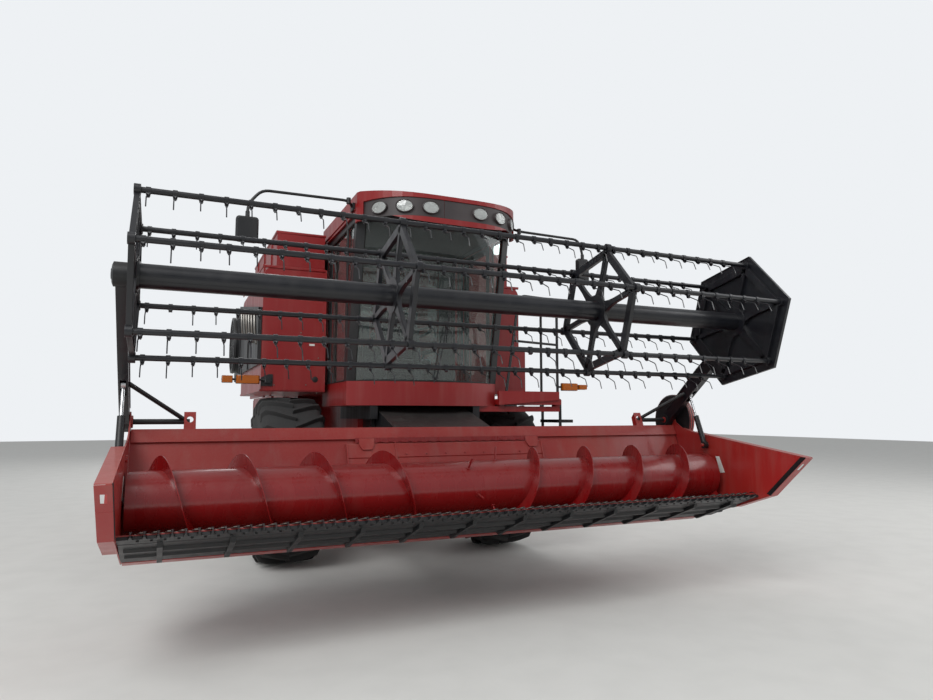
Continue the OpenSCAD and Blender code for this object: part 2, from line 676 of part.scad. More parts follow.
// Each amber lamp's two ends across, its back, its middle's height and its half height
lamps = [[-tank_half_w - 265, -tank_half_w - 18, tank_front_y - 42, right_bar_z, 47],
         [-tank_half_w - 405, -tank_half_w - 293, tank_front_y - 42, right_bar_z, 40],
         [rail_outer_x + 35, rail_outer_x + 253, rail_y - lamp_bar_r, left_bar_z, 45],
         [rail_outer_x + 270, rail_outer_x + 380, rail_y - lamp_bar_r, left_bar_z, 30]];
module amber_lamps() color([0.9, 0.5, 0.1]) {
    for (l = lamps) block(l[0], l[1], l[2] - 50, l[2], l[3] - l[4], l[3] + l[4]);
}

// Engine as a plain block, with its exhaust stack
module engine() color([0.35, 0.35, 0.36]) {
    block(-380, 420, tank_rear_y + 350, tank_rear_y + 1500, deck_top, deck_top + 780);
    tube_path([[400, tank_rear_y + 900, deck_top + 600], [620, tank_rear_y + 900, deck_top + 600],
               [620, tank_rear_y + 900, deck_top + 1250]], 55);
}
// Deck that carries the engine, with skirts down both sides and a rear rail
module engine_deck() color(red) {
    block(-deck_half_w, deck_half_w, tank_rear_y, body_rear_y, deck_z, deck_top);
    both_sides() block(deck_half_w - 30, deck_half_w, tank_rear_y, body_rear_y - 500, tank_z, deck_z);
    both_sides() block(deck_half_w - 30, deck_half_w, tank_rear_y, body_rear_y, deck_top, deck_top + 600);
    block(-deck_half_w + 30, deck_half_w - 30, body_rear_y - 30, body_rear_y, deck_top, deck_top + 600);
}
// Rotary air screen box on the right
module air_screen() color(black) {
    block(-tank_half_w - 10, -deck_half_w, tank_rear_y + 20, tank_rear_y + 1000,
          tank_z + 240, tank_top_z - 150);
    rod_x(400, -tank_half_w - 60, -tank_half_w - 10, tank_rear_y + 510, tank_z + 750);
}
module fuel_tank() color(black)
    block(body_half_w, shield_x - 120, tank_rear_y + 150, tank_rear_y + 850, rail_top + 100, tank_z - 60);

// Straw hood, open below, with the cross beam that carries the spreader discs
hood_half_w = 700;
disc_y = hood_rear_y - 420;
disc_z = rail_z + 90;
disc_x = 340;
shaft_r = 22;
module rear_hood() color(red) {
    outer = [[body_rear_y, rail_top], [body_rear_y, deck_top + 480], [body_rear_y + 450, deck_top + 380],
             [hood_rear_y - 60, deck_z - 250], [hood_rear_y, rail_top + 250], [hood_rear_y - 60, rail_top]];
    inner = [[body_rear_y + hood_t, rail_top - 1], [body_rear_y + hood_t, deck_top + 450],
             [body_rear_y + 440, deck_top + 350], [hood_rear_y - 60 - hood_t, deck_z - 260],
             [hood_rear_y - hood_t, rail_top + 250], [hood_rear_y - 60 - hood_t, rail_top - 1]];
    difference() {
        slab(outer, -hood_half_w, hood_half_w);
        slab(inner, -hood_half_w + hood_t, hood_half_w - hood_t);
    }
    difference() {
        block(-hood_half_w + hood_t - 1, hood_half_w - hood_t + 1, disc_y - 60, disc_y + 60,
              rail_top + 20, rail_top + 100);
        for (x = [-disc_x, disc_x]) translate([x, disc_y, rail_top]) cylinder(r = shaft_r + fit, h = 200);
    }
}
// Spreader disc with its shaft and paddles
module spreader_disc(side) color(dark) translate([side * disc_x, disc_y, disc_z]) {
    cylinder(r = 280, h = 12);
    cylinder(r = shaft_r, h = rail_top + 110 - disc_z);
    for (a = [0:90:270]) rotate([0, 0, a + 45]) translate([60, -5, 11]) cube([215, 10, 60]);
}

// Fixed elbow of the unloading auger on the tank's left wall
elbow_top = unload_z - 180;
elbow_z0 = tank_top_z - 950;
unload_x = tank_half_w + unload_out;
module unload_elbow() color(red) {
    translate([unload_x, unload_y, elbow_z0]) cylinder(r = unload_r + 10, h = elbow_top - elbow_z0);
    block(tank_half_w, unload_x, unload_y - 120, unload_y + 120, elbow_z0, elbow_z0 + 240);
}
// Unloading tube, folded back along the left side
unload_end_y = hood_rear_y + 10;
spout_l = 190;
spout_top = unload_z - unload_r - 15;
module unload_tube() color(red) {
    translate([unload_x, unload_y, elbow_top + seat_gap])
        cylinder(r = unload_r + 10, h = unload_z - elbow_top + unload_r);
    translate([unload_x, unload_y, unload_z]) rotate([-90, 0, 0])
        cylinder(r = unload_r, h = unload_end_y - unload_y);
    translate([unload_x, unload_end_y - unload_r, spout_top - spout_l])
        cylinder(r = unload_r - 5, h = spout_l + unload_r);
    translate([unload_x, unload_end_y - unload_r, spout_top]) cylinder(r = unload_r + 13, h = 35);
}

// Side shields, hinged on round bosses under the tank
shield_x = deck_half_w;
shield_t = 30;
shield_hinge_z = tank_z - shield_t / 2 - seat_gap;
shield_z0 = rail_z + 120;
shield_y0 = front_axle_y + tyre_d / 2 + 80;
shield_y1 = rear_axle_y - 750;
module side_shield(side) color(red) mirror([side < 0 ? 1 : 0, 0, 0]) {
    block(shield_x, shield_x + shield_t, shield_y0, shield_y1, shield_z0, shield_hinge_z);
    for (y = [shield_y0 + 150, tank_rear_y - 250]) translate([shield_x + shield_t / 2, y, shield_hinge_z])
        rotate([-90, 0, 0]) cylinder(r = shield_t / 2, h = 100);
}

// Feeder house: a duct from the header's back to the drum housing at its pivot
feed_z0 = 90;
feed_z1 = 700;
pivot_p = [pivot_reach, pivot_rise];
belly_dir = [sin(40), -cos(40)];
belly_wall = 40;
roof_wall = 90;
// Height of the feeder's underside at a place along the level header
function belly(y) = feed_z0 - 50 + (y - back_y - sheet_t) * (pivot_p + drum_r * belly_dir - [0, feed_z0 - 50])[1]
    / ((pivot_p + drum_r * belly_dir)[0] - back_y - sheet_t);
module feeder_house() color(black) on_header() {
    top = [back_y + sheet_t, feed_z1 + 50];
    low = [back_y + sheet_t, feed_z0 - 50];
    difference() {
        union() {
            slab([top, pivot_p + drum_r * [-sin(33), cos(33)], pivot_p + drum_r * belly_dir, low],
                 -feeder_half_w, feeder_half_w);
            rod_x(drum_r, -feeder_half_w, feeder_half_w, pivot_reach, pivot_rise);
        }
        slab([top + [-1, -50], pivot_p + (drum_r - roof_wall) * [-sin(33), cos(33)],
              pivot_p + (drum_r - belly_wall) * belly_dir, low + [-1, 50]],
             -feeder_half_w + 20, feeder_half_w - 20);
    }
    both_sides() {
        rod_x(pivot_r, feeder_half_w - 1, ear_x + ear_t + 5, pivot_reach, pivot_rise);
        lift_lug();
    }
}
// Lugs under the feeder that take the eyes of the lift cylinders
lug_y = 1080;
lug_z = 150;
module lift_lug() {
    for (x = [lift_x - 60 - lug_t, lift_x + 60]) slab([
        [lug_y - 60, lug_z - 60], [lug_y + 60, lug_z - 60],
        [lug_y + 160, belly(lug_y + 160) + 20], [lug_y - 60, belly(lug_y - 60) + 20]
    ], x, x + lug_t);
    rod_x(lift_pin_r, lift_x - 61, lift_x + 61, lug_y, lug_z);
}

// Floor and back sheet of the header as one bent sheet, with the beams that stiffen it
floor_sag = 20;
bend_r = 150;
module header_trough() color(red) on_header() {
    inner = concat([[0, 0], [trough_depth - bend_r, -floor_sag]],
                   arc(trough_depth - bend_r, bend_r - floor_sag, bend_r, -80, -5, 5), [[back_y, back_h]]);
    outer = concat([[back_y + sheet_t, back_h]],
                   arc(trough_depth - bend_r, bend_r - floor_sag, bend_r + sheet_t, -5, -80, 5),
                   [[trough_depth - bend_r, -floor_sag - sheet_t], [0, -sheet_t]]);
    difference() {
        union() {
            slab(concat(inner, outer), header_right, header_left);
            block(header_right, header_left, back_y + sheet_t - 4, back_y + 120, back_h - 95, back_h);
            block(header_right, header_left, back_y + sheet_t - 6, back_y + 100, -20, feed_z0 - 50);
            for (x = [header_right + 60, -feeder_half_w - 100, feeder_half_w + 40, header_left - 120])
                block(x, x + 60, back_y + sheet_t - 6, back_y + 80, feed_z0 - 50, back_h - 90);
        }
        block(-feeder_half_w + 20, feeder_half_w - 20, back_y - 40, back_y + 60, feed_z0, feed_z1);
    }
}
// End sheets with their pointed dividers
end_t = 10;
divider_w = 90;
divider_tip = [-617, 139];
function end_outline() = concat(
    [[back_y + sheet_t, -30], [-140, -55], divider_tip, [549, 788], [660, 870], [730, 960], [745, arm_z + 55],
     [arm_y + 55, arm_z + 55], [arm_y + 55, back_h - 60], [back_y + sheet_t, back_h - 80]]);
module header_end(side) mirror([side < 0 ? 1 : 0, 0, 0]) {
    x0 = side > 0 ? header_left : -header_right;
    difference() {
        slab(end_outline(), x0, x0 + end_t);
        rod_x(auger_pin_r + fit, x0 - 1, x0 + end_t + 1, auger_y, auger_z);
    }
    divider_nose(x0 + end_t);
}
// Closed wedge outside the end sheet that narrows to the divider's tip
module divider_nose(x0) {
    y1 = 300;
    hull() {
        slab([divider_tip, [y1, 640], [y1, -40], [-140, -55]], x0 - 1, x0 + 1);
        slab([[y1, 620], [y1, -30], [-140, -45]], x0 + 29, x0 + 30);
        slab([divider_tip + [40, -5], divider_tip + [70, 5], divider_tip + [100, -25]],
             x0 + divider_w - end_t - 1, x0 + divider_w - end_t);
    }
}
auger_pin_r = 30;
module header_ends() color(red) on_header() {
    header_end(1);
    header_end(-1);
    for (pin = [[arm_pin_r, [arm_y, arm_z]], [cyl_pin_r, base_p]]) {
        rod_x(pin[0], header_right - 2 * end_t - arm_w, header_right - end_t + 1, pin[1][0], pin[1][1]);
        rod_x(pin[0], header_left - end_t - arm_w, header_left + 1, pin[1][0], pin[1][1]);
    }
}
// Cutter bar with its guards as one comb
bar_depth = 110;
bar_top = -sheet_t - floor_sag * bar_depth / (trough_depth - bend_r) - seat_gap;
bar_z = bar_top - 20;
guard_n = floor((header_w - 40) / guard_pitch);
guard_x0 = header_right + (header_w - guard_n * guard_pitch) / 2;
module comb(n, pitch, root, tip, root_w, tip_w) {
    polygon(concat(
        [for (i = [0:n - 1], p = [[-root_w, 0], [-tip_w, tip], [tip_w, tip], [root_w, 0]])
            [(i + 0.5) * pitch + p[0], p[1]]],
        [[n * pitch, 0], [n * pitch, root], [0, root], [0, 0]]));
}
module cutterbar() color(black) on_header() {
    block(header_right, header_left, -10, bar_depth, bar_z, bar_top);
    translate([guard_x0, -9, bar_z]) linear_extrude(20) comb(guard_n, guard_pitch, 20, -guard_len, 16, 4);
}
stroke = guard_pitch / 2;
module knife() color(steel) on_header()
    translate([guard_x0 + stroke + 20, 8, seat_gap])
        linear_extrude(5) comb(guard_n - 2, guard_pitch, 30, -55, 34, 12);
// Drive shields outside the left end sheet, with the reel's drive disc in line with the arm's pivot
drive_disc_r = 270;
module header_drive() color(red) on_header() {
    x0 = header_left + end_t;
    rod_x(arm_pin_r + 5, x0 + seat_gap, x0 + 31, arm_y, arm_z);
    rod_x(drive_disc_r, x0 + 30, x0 + 90, arm_y, arm_z);
    slab([[520, 60], [520, 560], [640, 760], [back_y, 760], [back_y + 120, 600], [back_y + 120, 60]],
         x0, x0 + 320);
    block(x0, x0 + 440, 560, back_y + 100, 100, 480);
}

// Table auger: tube with its stub shafts
module auger_tube() color(red) on_header() {
    rod_x(auger_r, header_right + 17, header_left - 85, auger_y, auger_z);
    rod_x(auger_pin_r, header_right - end_t, header_left + end_t, auger_y, auger_z);
}
// One screw flight as a closed strip wound round the tube from x0 to x1
flight_t = 8;
module flight(x0, x1, hand, start) {
    steps_per_turn = 20;
    n = ceil(abs(x1 - x0) / flight_pitch * steps_per_turn);
    corners = [[auger_r - 3, 0], [flight_r, 0], [flight_r, flight_t], [auger_r - 3, flight_t]];
    points = [for (i = [0:n], c = corners)
        let (a = start + hand * 360 / steps_per_turn * i)
        [x0 + (x1 - x0) * i / n + c[1], c[0] * cos(a), c[0] * sin(a)]];
    sides = [for (i = [0:n - 1], k = [0:3])
        let (p = 4 * i + k, q = 4 * i + (k + 1) % 4)
        hand > 0 ? [p, q, q + 4, p + 4] : [p + 4, q + 4, q, p]];
    ends = hand > 0 ? [[3, 2, 1, 0], [4 * n, 4 * n + 1, 4 * n + 2, 4 * n + 3]]
                    : [[0, 1, 2, 3], [4 * n + 3, 4 * n + 2, 4 * n + 1, 4 * n]];
    polyhedron(points, concat(sides, ends));
}
module auger_flights() color(red) on_header() translate([0, auger_y, auger_z]) {
    flight(header_right + 60, feed_x - feed_half_w, 1, 0);
    flight(feed_x + feed_half_w, header_left - 100, -1, 0);
}

// Reel, in the header's frame
reel_c = [arm_y, arm_z] + arm_len * [-cos(arm_rise), sin(arm_rise)];
arm_w = 66;
arm_gap = 2;
arm_x_right = header_right - end_t - arm_gap - arm_w / 2;
arm_x_left = header_left - arm_gap - arm_w / 2;
reel_x0 = header_right + 27;
reel_x1 = header_left - 133;
spider_xs = [header_right + 27, header_right + 1713, header_right + 3484];
shaft_end_r = 35;
// Arms with their pivot ears and the reel's bearings
module reel_arm(x) {
    u = [-cos(arm_rise), sin(arm_rise)];
    v = [sin(arm_rise), cos(arm_rise)];
    p = [arm_y, arm_z];
    difference() {
        union() {
            slab([p - 60 * u - 50 * v, p - 60 * u + 50 * v, p + arm_len * 0.5 * u + 70 * v,
                  reel_c + 60 * u + 45 * v, reel_c + 60 * u - 45 * v, p + arm_len * 0.5 * u - 60 * v],
                 x - arm_w / 2, x + arm_w / 2);
            rod_x(75, x - arm_w / 2, x + arm_w / 2, reel_c[0], reel_c[1]);
        }
        rod_x(shaft_end_r + fit, x - arm_w / 2 - 1, x + arm_w / 2 + 1, reel_c[0], reel_c[1]);
        rod_x(arm_pin_r + fit, x - arm_w / 2 - 1, x + arm_w / 2 + 1, arm_y, arm_z);
        arm_cylinder_slot(x, p, u, v);
    }
    rod_x(cyl_pin_r, x - arm_w / 2, x + arm_w / 2, eye_p[0], eye_p[1]);
}
arm_pin_r = 30;
cyl_pin_r = 16;
// Place of the reel cylinders' eyes on the arms and of their pins on the end sheets
eye_at = 450;
eye_p = [arm_y, arm_z] + eye_at * [-cos(arm_rise), sin(arm_rise)] - [0, 20];
base_p = [400, 600];
module arm_cylinder_slot(x, p, u, v) {
    c = eye_p;
    slab([c - 75 * u + 52 * v, c + 75 * u + 52 * v, c + 90 * u - 150 * v, c - 90 * u - 150 * v], x - 20, x + 20);
}
module reel_arms() color(black) on_header() {
    reel_arm(arm_x_right);
    reel_arm(arm_x_left);
}
module hexagon_ring(r_out, r_in, t) {
    difference() {
        cylinder(r = r_out, h = t, center = true, $fn = 6);
        cylinder(r = r_in, h = t + 2, center = true, $fn = 6);
    }
}
spider_t = 24;
spoke_w = 40;
boss_wall = 16;
shield_lip = 85;
// Spider at x: hexagonal rim, six spokes and a boss for each tine bar
module spider(x, t) {
    translate([x, reel_c[0], reel_c[1]]) rotate([0, 90, 0]) rotate([0, 0, bat_turn]) {
        difference() {
            union() {
                hexagon_ring(bat_r, bat_r - 70, t);
                for (a = [0:60:300]) rotate([0, 0, a]) {
                    translate([reel_tube_r - 5, -spoke_w / 2, -t / 2 + 3]) cube([bat_r - reel_tube_r, spoke_w, t - 6]);
                    translate([bat_r, 0, 0]) cylinder(r = bar_r + boss_wall, h = t + 8, center = true);
                }
            }
            for (a = [0:60:300]) rotate([0, 0, a]) translate([bat_r, 0, 0])
                cylinder(r = bar_r + fit, h = t + 10, center = true);
        }
    }
}
// Main tube, spiders and the closed end shield of the reel
module reel_rotor() color(black) on_header() {
    rod_x(reel_tube_r, reel_x0 - 10, reel_x1 + 20, reel_c[0], reel_c[1]);
    rod_x(shaft_end_r, arm_x_right - arm_w / 2, arm_x_left + arm_w / 2, reel_c[0], reel_c[1]);
    for (x = spider_xs) spider(x, spider_t);
    spider(reel_x1 - spider_t, spider_t - 4);
    translate([reel_x1, reel_c[0], reel_c[1]]) rotate([0, 90, 0]) rotate([0, 0, bat_turn])
        cylinder(r = bat_r + shield_lip, h = 20, $fn = 6);
}
// Tine bar: a tube in the spiders' bosses with a row of tines that lead forward and then hang down
tine_start = 60;
tine_n = floor((reel_x1 - reel_x0 - 2 * tine_start) / tine_pitch);
tine_knee = tine_lead + 25;
tine_outline = [
    [tine_t / 2, -bar_r / 2], [tine_t / 2 - 20, -bar_r - 24], [tine_t / 2 - tine_lead, -tine_knee],
    [tine_t / 2 - tine_lead, -tine_len], [-tine_t / 2 - tine_lead, -tine_len],
    [-tine_t / 2 - tine_lead, -tine_knee - tine_t / 2], [-tine_t / 2 - 20, -bar_r - 28], [-tine_t / 2, -bar_r / 2]];
module tine_bar(i) color(black) on_header() {
    a = -bat_turn + 60 * i;
    y = reel_c[0] + bat_r * sin(a);
    z = reel_c[1] + bat_r * cos(a);
    rod_x(bar_r, reel_x0 - 14, reel_x1 - 5, y, z);
    for (k = [0:tine_n]) {
        x = reel_x0 + tine_start + k * tine_pitch;
        if (min([for (s = spider_xs) abs(x - s)]) > spider_t / 2 + 18)
            slab([for (p = tine_outline) [y, z] + p], x - tine_t / 2, x + tine_t / 2);
    }
}

// Cylinders: a barrel on its base pin and a rod with an eye at its far end
module eye(r_out, r_in, w) {
    difference() {
        cylinder(r = r_out, h = w, center = true);
        cylinder(r = r_in, h = w + 2, center = true);
    }
}
module along(base, tip) {
    translate([0, base[0], base[1]]) rotate([atan2(tip[1] - base[1], tip[0] - base[0]) - 90, 0, 0]) children();
}
module barrel(len, r, pin_r, rod_r) {
    difference() {
        union() {
            rotate([0, 90, 0]) cylinder(r = pin_r + 18, h = 2 * r - 10, center = true);
            translate([0, 0, pin_r + 6]) cylinder(r = r, h = len - pin_r - 6);
        }
        rotate([0, 90, 0]) cylinder(r = pin_r + fit, h = 2 * r + 10, center = true);
        translate([0, 0, pin_r + 28]) cylinder(r = rod_r + seat_gap, h = len);
    }
}
// The rod's eye is slack on its pin, so that it can drift there
module rod(len, start, r, pin_r, slack, wall, eye_w) {
    translate([0, 0, start]) cylinder(r = r, h = len - start - pin_r - slack - 4);
    translate([0, 0, len]) rotate([0, 90, 0]) eye(pin_r + slack + wall, pin_r + slack, eye_w);
}
lift_rod_r = 34;
reel_rod_r = 14;
lift_base = [lift_base_y, lift_base_z];
lift_eye = raised([lug_y, lug_z]);
lift_len = norm(lift_eye - lift_base);
module lift_barrels() color(dark) both_sides() translate([lift_x, 0, 0]) along(lift_base, lift_eye)
    barrel(lift_len - 420, lift_rod_r + 14, lift_pin_r, lift_rod_r);
module lift_rods() color(steel) both_sides() translate([lift_x, 0, 0]) along(lift_base, lift_eye)
    rod(lift_len, lift_len - 900, lift_rod_r, lift_pin_r, 12, 14, 80);
reel_cyl_len = norm(eye_p - base_p);
module at_reel_cylinders() {
    for (x = [arm_x_right, arm_x_left]) translate([x, 0, 0]) along(base_p, eye_p) children();
}
module reel_barrels() color(dark) on_header() at_reel_cylinders() 
    barrel(reel_cyl_len - 242, reel_rod_r + 12, cyl_pin_r, reel_rod_r);
module reel_rods() color(steel) on_header() at_reel_cylinders()
    rod(reel_cyl_len, reel_cyl_len - 300, reel_rod_r, cyl_pin_r, 11, 10, 30);

frame();
front_axle();
separator_body();
elevators();
grain_tank();
tank_extension();
cab_shell();
cab_glass();
cab_roof();
roof_lamps();
seat();
cab_controls();
cab_door();
door_glass();
platform();
ladder_and_rails();
mirror_and_lamp_arms();
amber_lamps();
engine();
engine_deck();
air_screen();
fuel_tank();
rear_hood();
spreader_disc(1);  // spreader_disc_left
spreader_disc(-1);  // spreader_disc_right
unload_elbow();
unload_tube();
side_shield(1);  // side_shield_left
side_shield(-1);  // side_shield_right
rear_axle();
knuckle(1);  // knuckle_left
knuckle(-1);  // knuckle_right
tyre_front(1);  // tyre_front_left
tyre_front(-1);  // tyre_front_right
tyre_rear(1);  // tyre_rear_left
tyre_rear(-1);  // tyre_rear_right
rim_front(1);  // rim_front_left
rim_front(-1);  // rim_front_right
rim_rear(1);  // rim_rear_left
rim_rear(-1);  // rim_rear_right
feeder_house();
header_trough();
header_ends();
cutterbar();
header_drive();
knife();
auger_tube();
auger_flights();
reel_arms();
reel_rotor();
tine_bar(0);  // tine_bar_1
tine_bar(1);  // tine_bar_2
tine_bar(2);  // tine_bar_3
tine_bar(3);  // tine_bar_4
tine_bar(4);  // tine_bar_5
tine_bar(5);  // tine_bar_6
lift_barrels();
lift_rods();
reel_barrels();
reel_rods();
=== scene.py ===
"""Dresses a combine harvester's frame: paint, rubber, glass, tines, lugs and small fittings."""

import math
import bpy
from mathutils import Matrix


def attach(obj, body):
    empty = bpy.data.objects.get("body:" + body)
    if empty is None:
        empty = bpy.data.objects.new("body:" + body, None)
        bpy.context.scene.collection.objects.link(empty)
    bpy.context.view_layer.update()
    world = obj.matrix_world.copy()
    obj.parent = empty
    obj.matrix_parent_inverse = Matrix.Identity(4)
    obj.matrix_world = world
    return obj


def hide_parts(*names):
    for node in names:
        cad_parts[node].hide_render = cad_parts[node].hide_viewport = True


bl_info = {
    "name": "Combine Harvester",
    "version": (1, 0, 0),
    "blender": (4, 5, 0),
    "location": "View3D > Sidebar > Harvester",
    "description": "Makes the visible pieces of a combine harvester on its engineering frame",
    "category": "Object",
}

import bmesh
import bpy
from bpy.props import FloatProperty, FloatVectorProperty, IntProperty, PointerProperty
from mathutils import Matrix, Vector

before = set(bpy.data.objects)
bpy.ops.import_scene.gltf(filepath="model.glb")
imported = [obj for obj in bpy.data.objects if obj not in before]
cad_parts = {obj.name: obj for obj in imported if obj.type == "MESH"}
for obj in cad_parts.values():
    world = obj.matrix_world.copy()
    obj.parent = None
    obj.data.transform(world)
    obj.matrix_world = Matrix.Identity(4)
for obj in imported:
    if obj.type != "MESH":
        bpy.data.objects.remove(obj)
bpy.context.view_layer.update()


def linear(code):
    """Turns an sRGB hex value to the linear colour that a shader takes."""
    parts = [int(code[i:i + 2], 16) / 255 for i in (1, 3, 5)]
    return tuple(p / 12.92 if p <= 0.04045 else ((p + 0.055) / 1.055) ** 2.4 for p in parts) + (1.0,)


def tone(code):
    """A colour given as a hex value or as one of the panel's colours."""
    return linear(code) if isinstance(code, str) else tuple(code)


def size(text, note, metres):
    """A length that a user may change."""
    return FloatProperty(name=text, description=note, default=metres, min=0.0005, unit="LENGTH")


def tint(text, note, code):
    """A colour that a user may change."""
    return FloatVectorProperty(name=text, description=note, default=linear(code), size=4, subtype="COLOR",
                               min=0, max=1)


class HarvesterSizes(bpy.types.PropertyGroup):
    """Sizes of the pieces that repeat."""
    lug_height: size("Lug height", "Height of a drive tyre's lugs over its carcass", 0.045)
    lug_width: size("Lug width", "Width of a lug at its foot", 0.062)
    lug_count: IntProperty(name="Lugs", description="Lugs on each half of a drive tyre", default=22, min=8,
                           max=40)
    tine_pitch: size("Tine pitch", "Spacing of the spring tines along their bar", 0.15)
    tine_wire: size("Tine wire", "Diameter of a spring tine's wire", 0.008)
    guard_pitch: size("Guard pitch", "Spacing of the knife guards", 0.0762)
    bolt: size("Bolt head", "Width of a bolt's head over its flats", 0.03)
    flight_pitch: size("Flight pitch", "Advance of the auger's flight in one turn", 0.53)


class HarvesterColours(bpy.types.PropertyGroup):
    """Colours of the paints and plastics."""
    machine: tint("Machine red", "Enamel of the body, the tank and the cab", "#860f11")
    header: tint("Header red", "Enamel of the header's sheets", "#a02322")
    auger: tint("Auger red", "Enamel of the table auger", "#830b0f")
    black: tint("Frame black", "Enamel of the frame, the arms and the rails", "#101114")
    reel: tint("Reel black", "Enamel of the reel", "#0c0d13")
    dust: tint("Dust", "Field dust on what faces upwards", "#9a857a")
    rubber: tint("Rubber", "Tyres and seals", "#202122")
    glass: tint("Cab glass", "Tint of the cab's glass", "#e3efec")
    amber: tint("Amber", "Lenses of the turn lamps", "#d9731a")


for group in (HarvesterSizes, HarvesterColours):
    bpy.utils.register_class(group)
bpy.types.Scene.harvester_sizes = PointerProperty(type=HarvesterSizes)
bpy.types.Scene.harvester_colours = PointerProperty(type=HarvesterColours)


# The header's own frame: its knife edge is at 0, 0 and its floor is level
PIVOT = Vector((0, -1.680, 1.450))
PIVOT_LEVEL = Vector((0, 1.946, 1.349))
LIFT = math.radians(21)
HEADER = Matrix.Translation(PIVOT) @ Matrix.Rotation(-LIFT, 4, "X") @ Matrix.Translation(-PIVOT_LEVEL)
HEADER_LEFT, HEADER_RIGHT = 2.423, -2.757
RISE = math.radians(18.7)
ARM_PIVOT = Vector((0, 0.818, 1.023))
REEL = ARM_PIVOT + 1.430 * Vector((0, -math.cos(RISE), math.sin(RISE)))
BAT_R = 0.525
BAT_TURN = math.radians(39)
BATS = 6
REEL_LEFT, REEL_RIGHT = 2.290, -2.730
SPIDERS = (-2.730, -1.044, 0.727, 2.266)
AUGER = Vector((0, 0.470, 0.320))
# Turns that stand a bolt along the X axis forwards, downwards and upwards
AHEAD = Matrix.Rotation(math.radians(-90), 4, "Z")
DOWN = Matrix.Rotation(math.radians(90), 4, "Y")
UP = Matrix.Rotation(math.radians(-90), 4, "Y")
# Centres of the left wheels, of the round air screen, and the unloading tube's place across and up
FRONT_WHEEL, REAR_WHEEL = (1.29, -0.85, 0.90), (1.25, 2.75, 0.63)
AIR_SCREEN = (0, 1.66, 2.61)
TUBE_X, TUBE_Z = 1.755, 3.08
# The cushions' voxels, the pressure in them, the steps that they swell for and how far a point may move
VOXEL, PRESSURE, SWELLING, CAP = 0.006, 4.0, 20, 0.012


def wheel(side, front):
    """A wheel's centre, the end of its nodes' names and the body that it turns with."""
    x, y, z = FRONT_WHEEL if front else REAR_WHEEL
    end, hand = "front" if front else "rear", "left" if side > 0 else "right"
    return (side * x, y, z), f"{end}_{hand}", f"{end}_wheel_{hand}"


def outward(side):
    """The turn that points the X axis outwards on one side."""
    return Matrix.Rotation(0.0 if side > 0 else math.pi, 4, "Z")


def bat(k):
    """The angle at which tine bar k stands round the reel."""
    return -BAT_TURN + k * math.tau / BATS


def spun(radius, angle, x=0.0):
    """A point round the X axis, its angle counted from the top towards the back."""
    return Vector((x, radius * math.sin(angle), radius * math.cos(angle)))


def rounded(path, bend, steps=4):
    """A path whose corners are turned into bends."""
    path = [Vector(p) for p in path]
    out = [path[0]]
    for a, b, c in zip(path, path[1:], path[2:]):
        reach = min(bend, (a - b).length * 0.48, (c - b).length * 0.48)
        p, q = b + (a - b).normalized() * reach, b + (c - b).normalized() * reach
        for i in range(steps + 1):
            t = i / steps
            out.append(p.lerp(b, t).lerp(b.lerp(q, t), t))
    return out + [path[-1]]


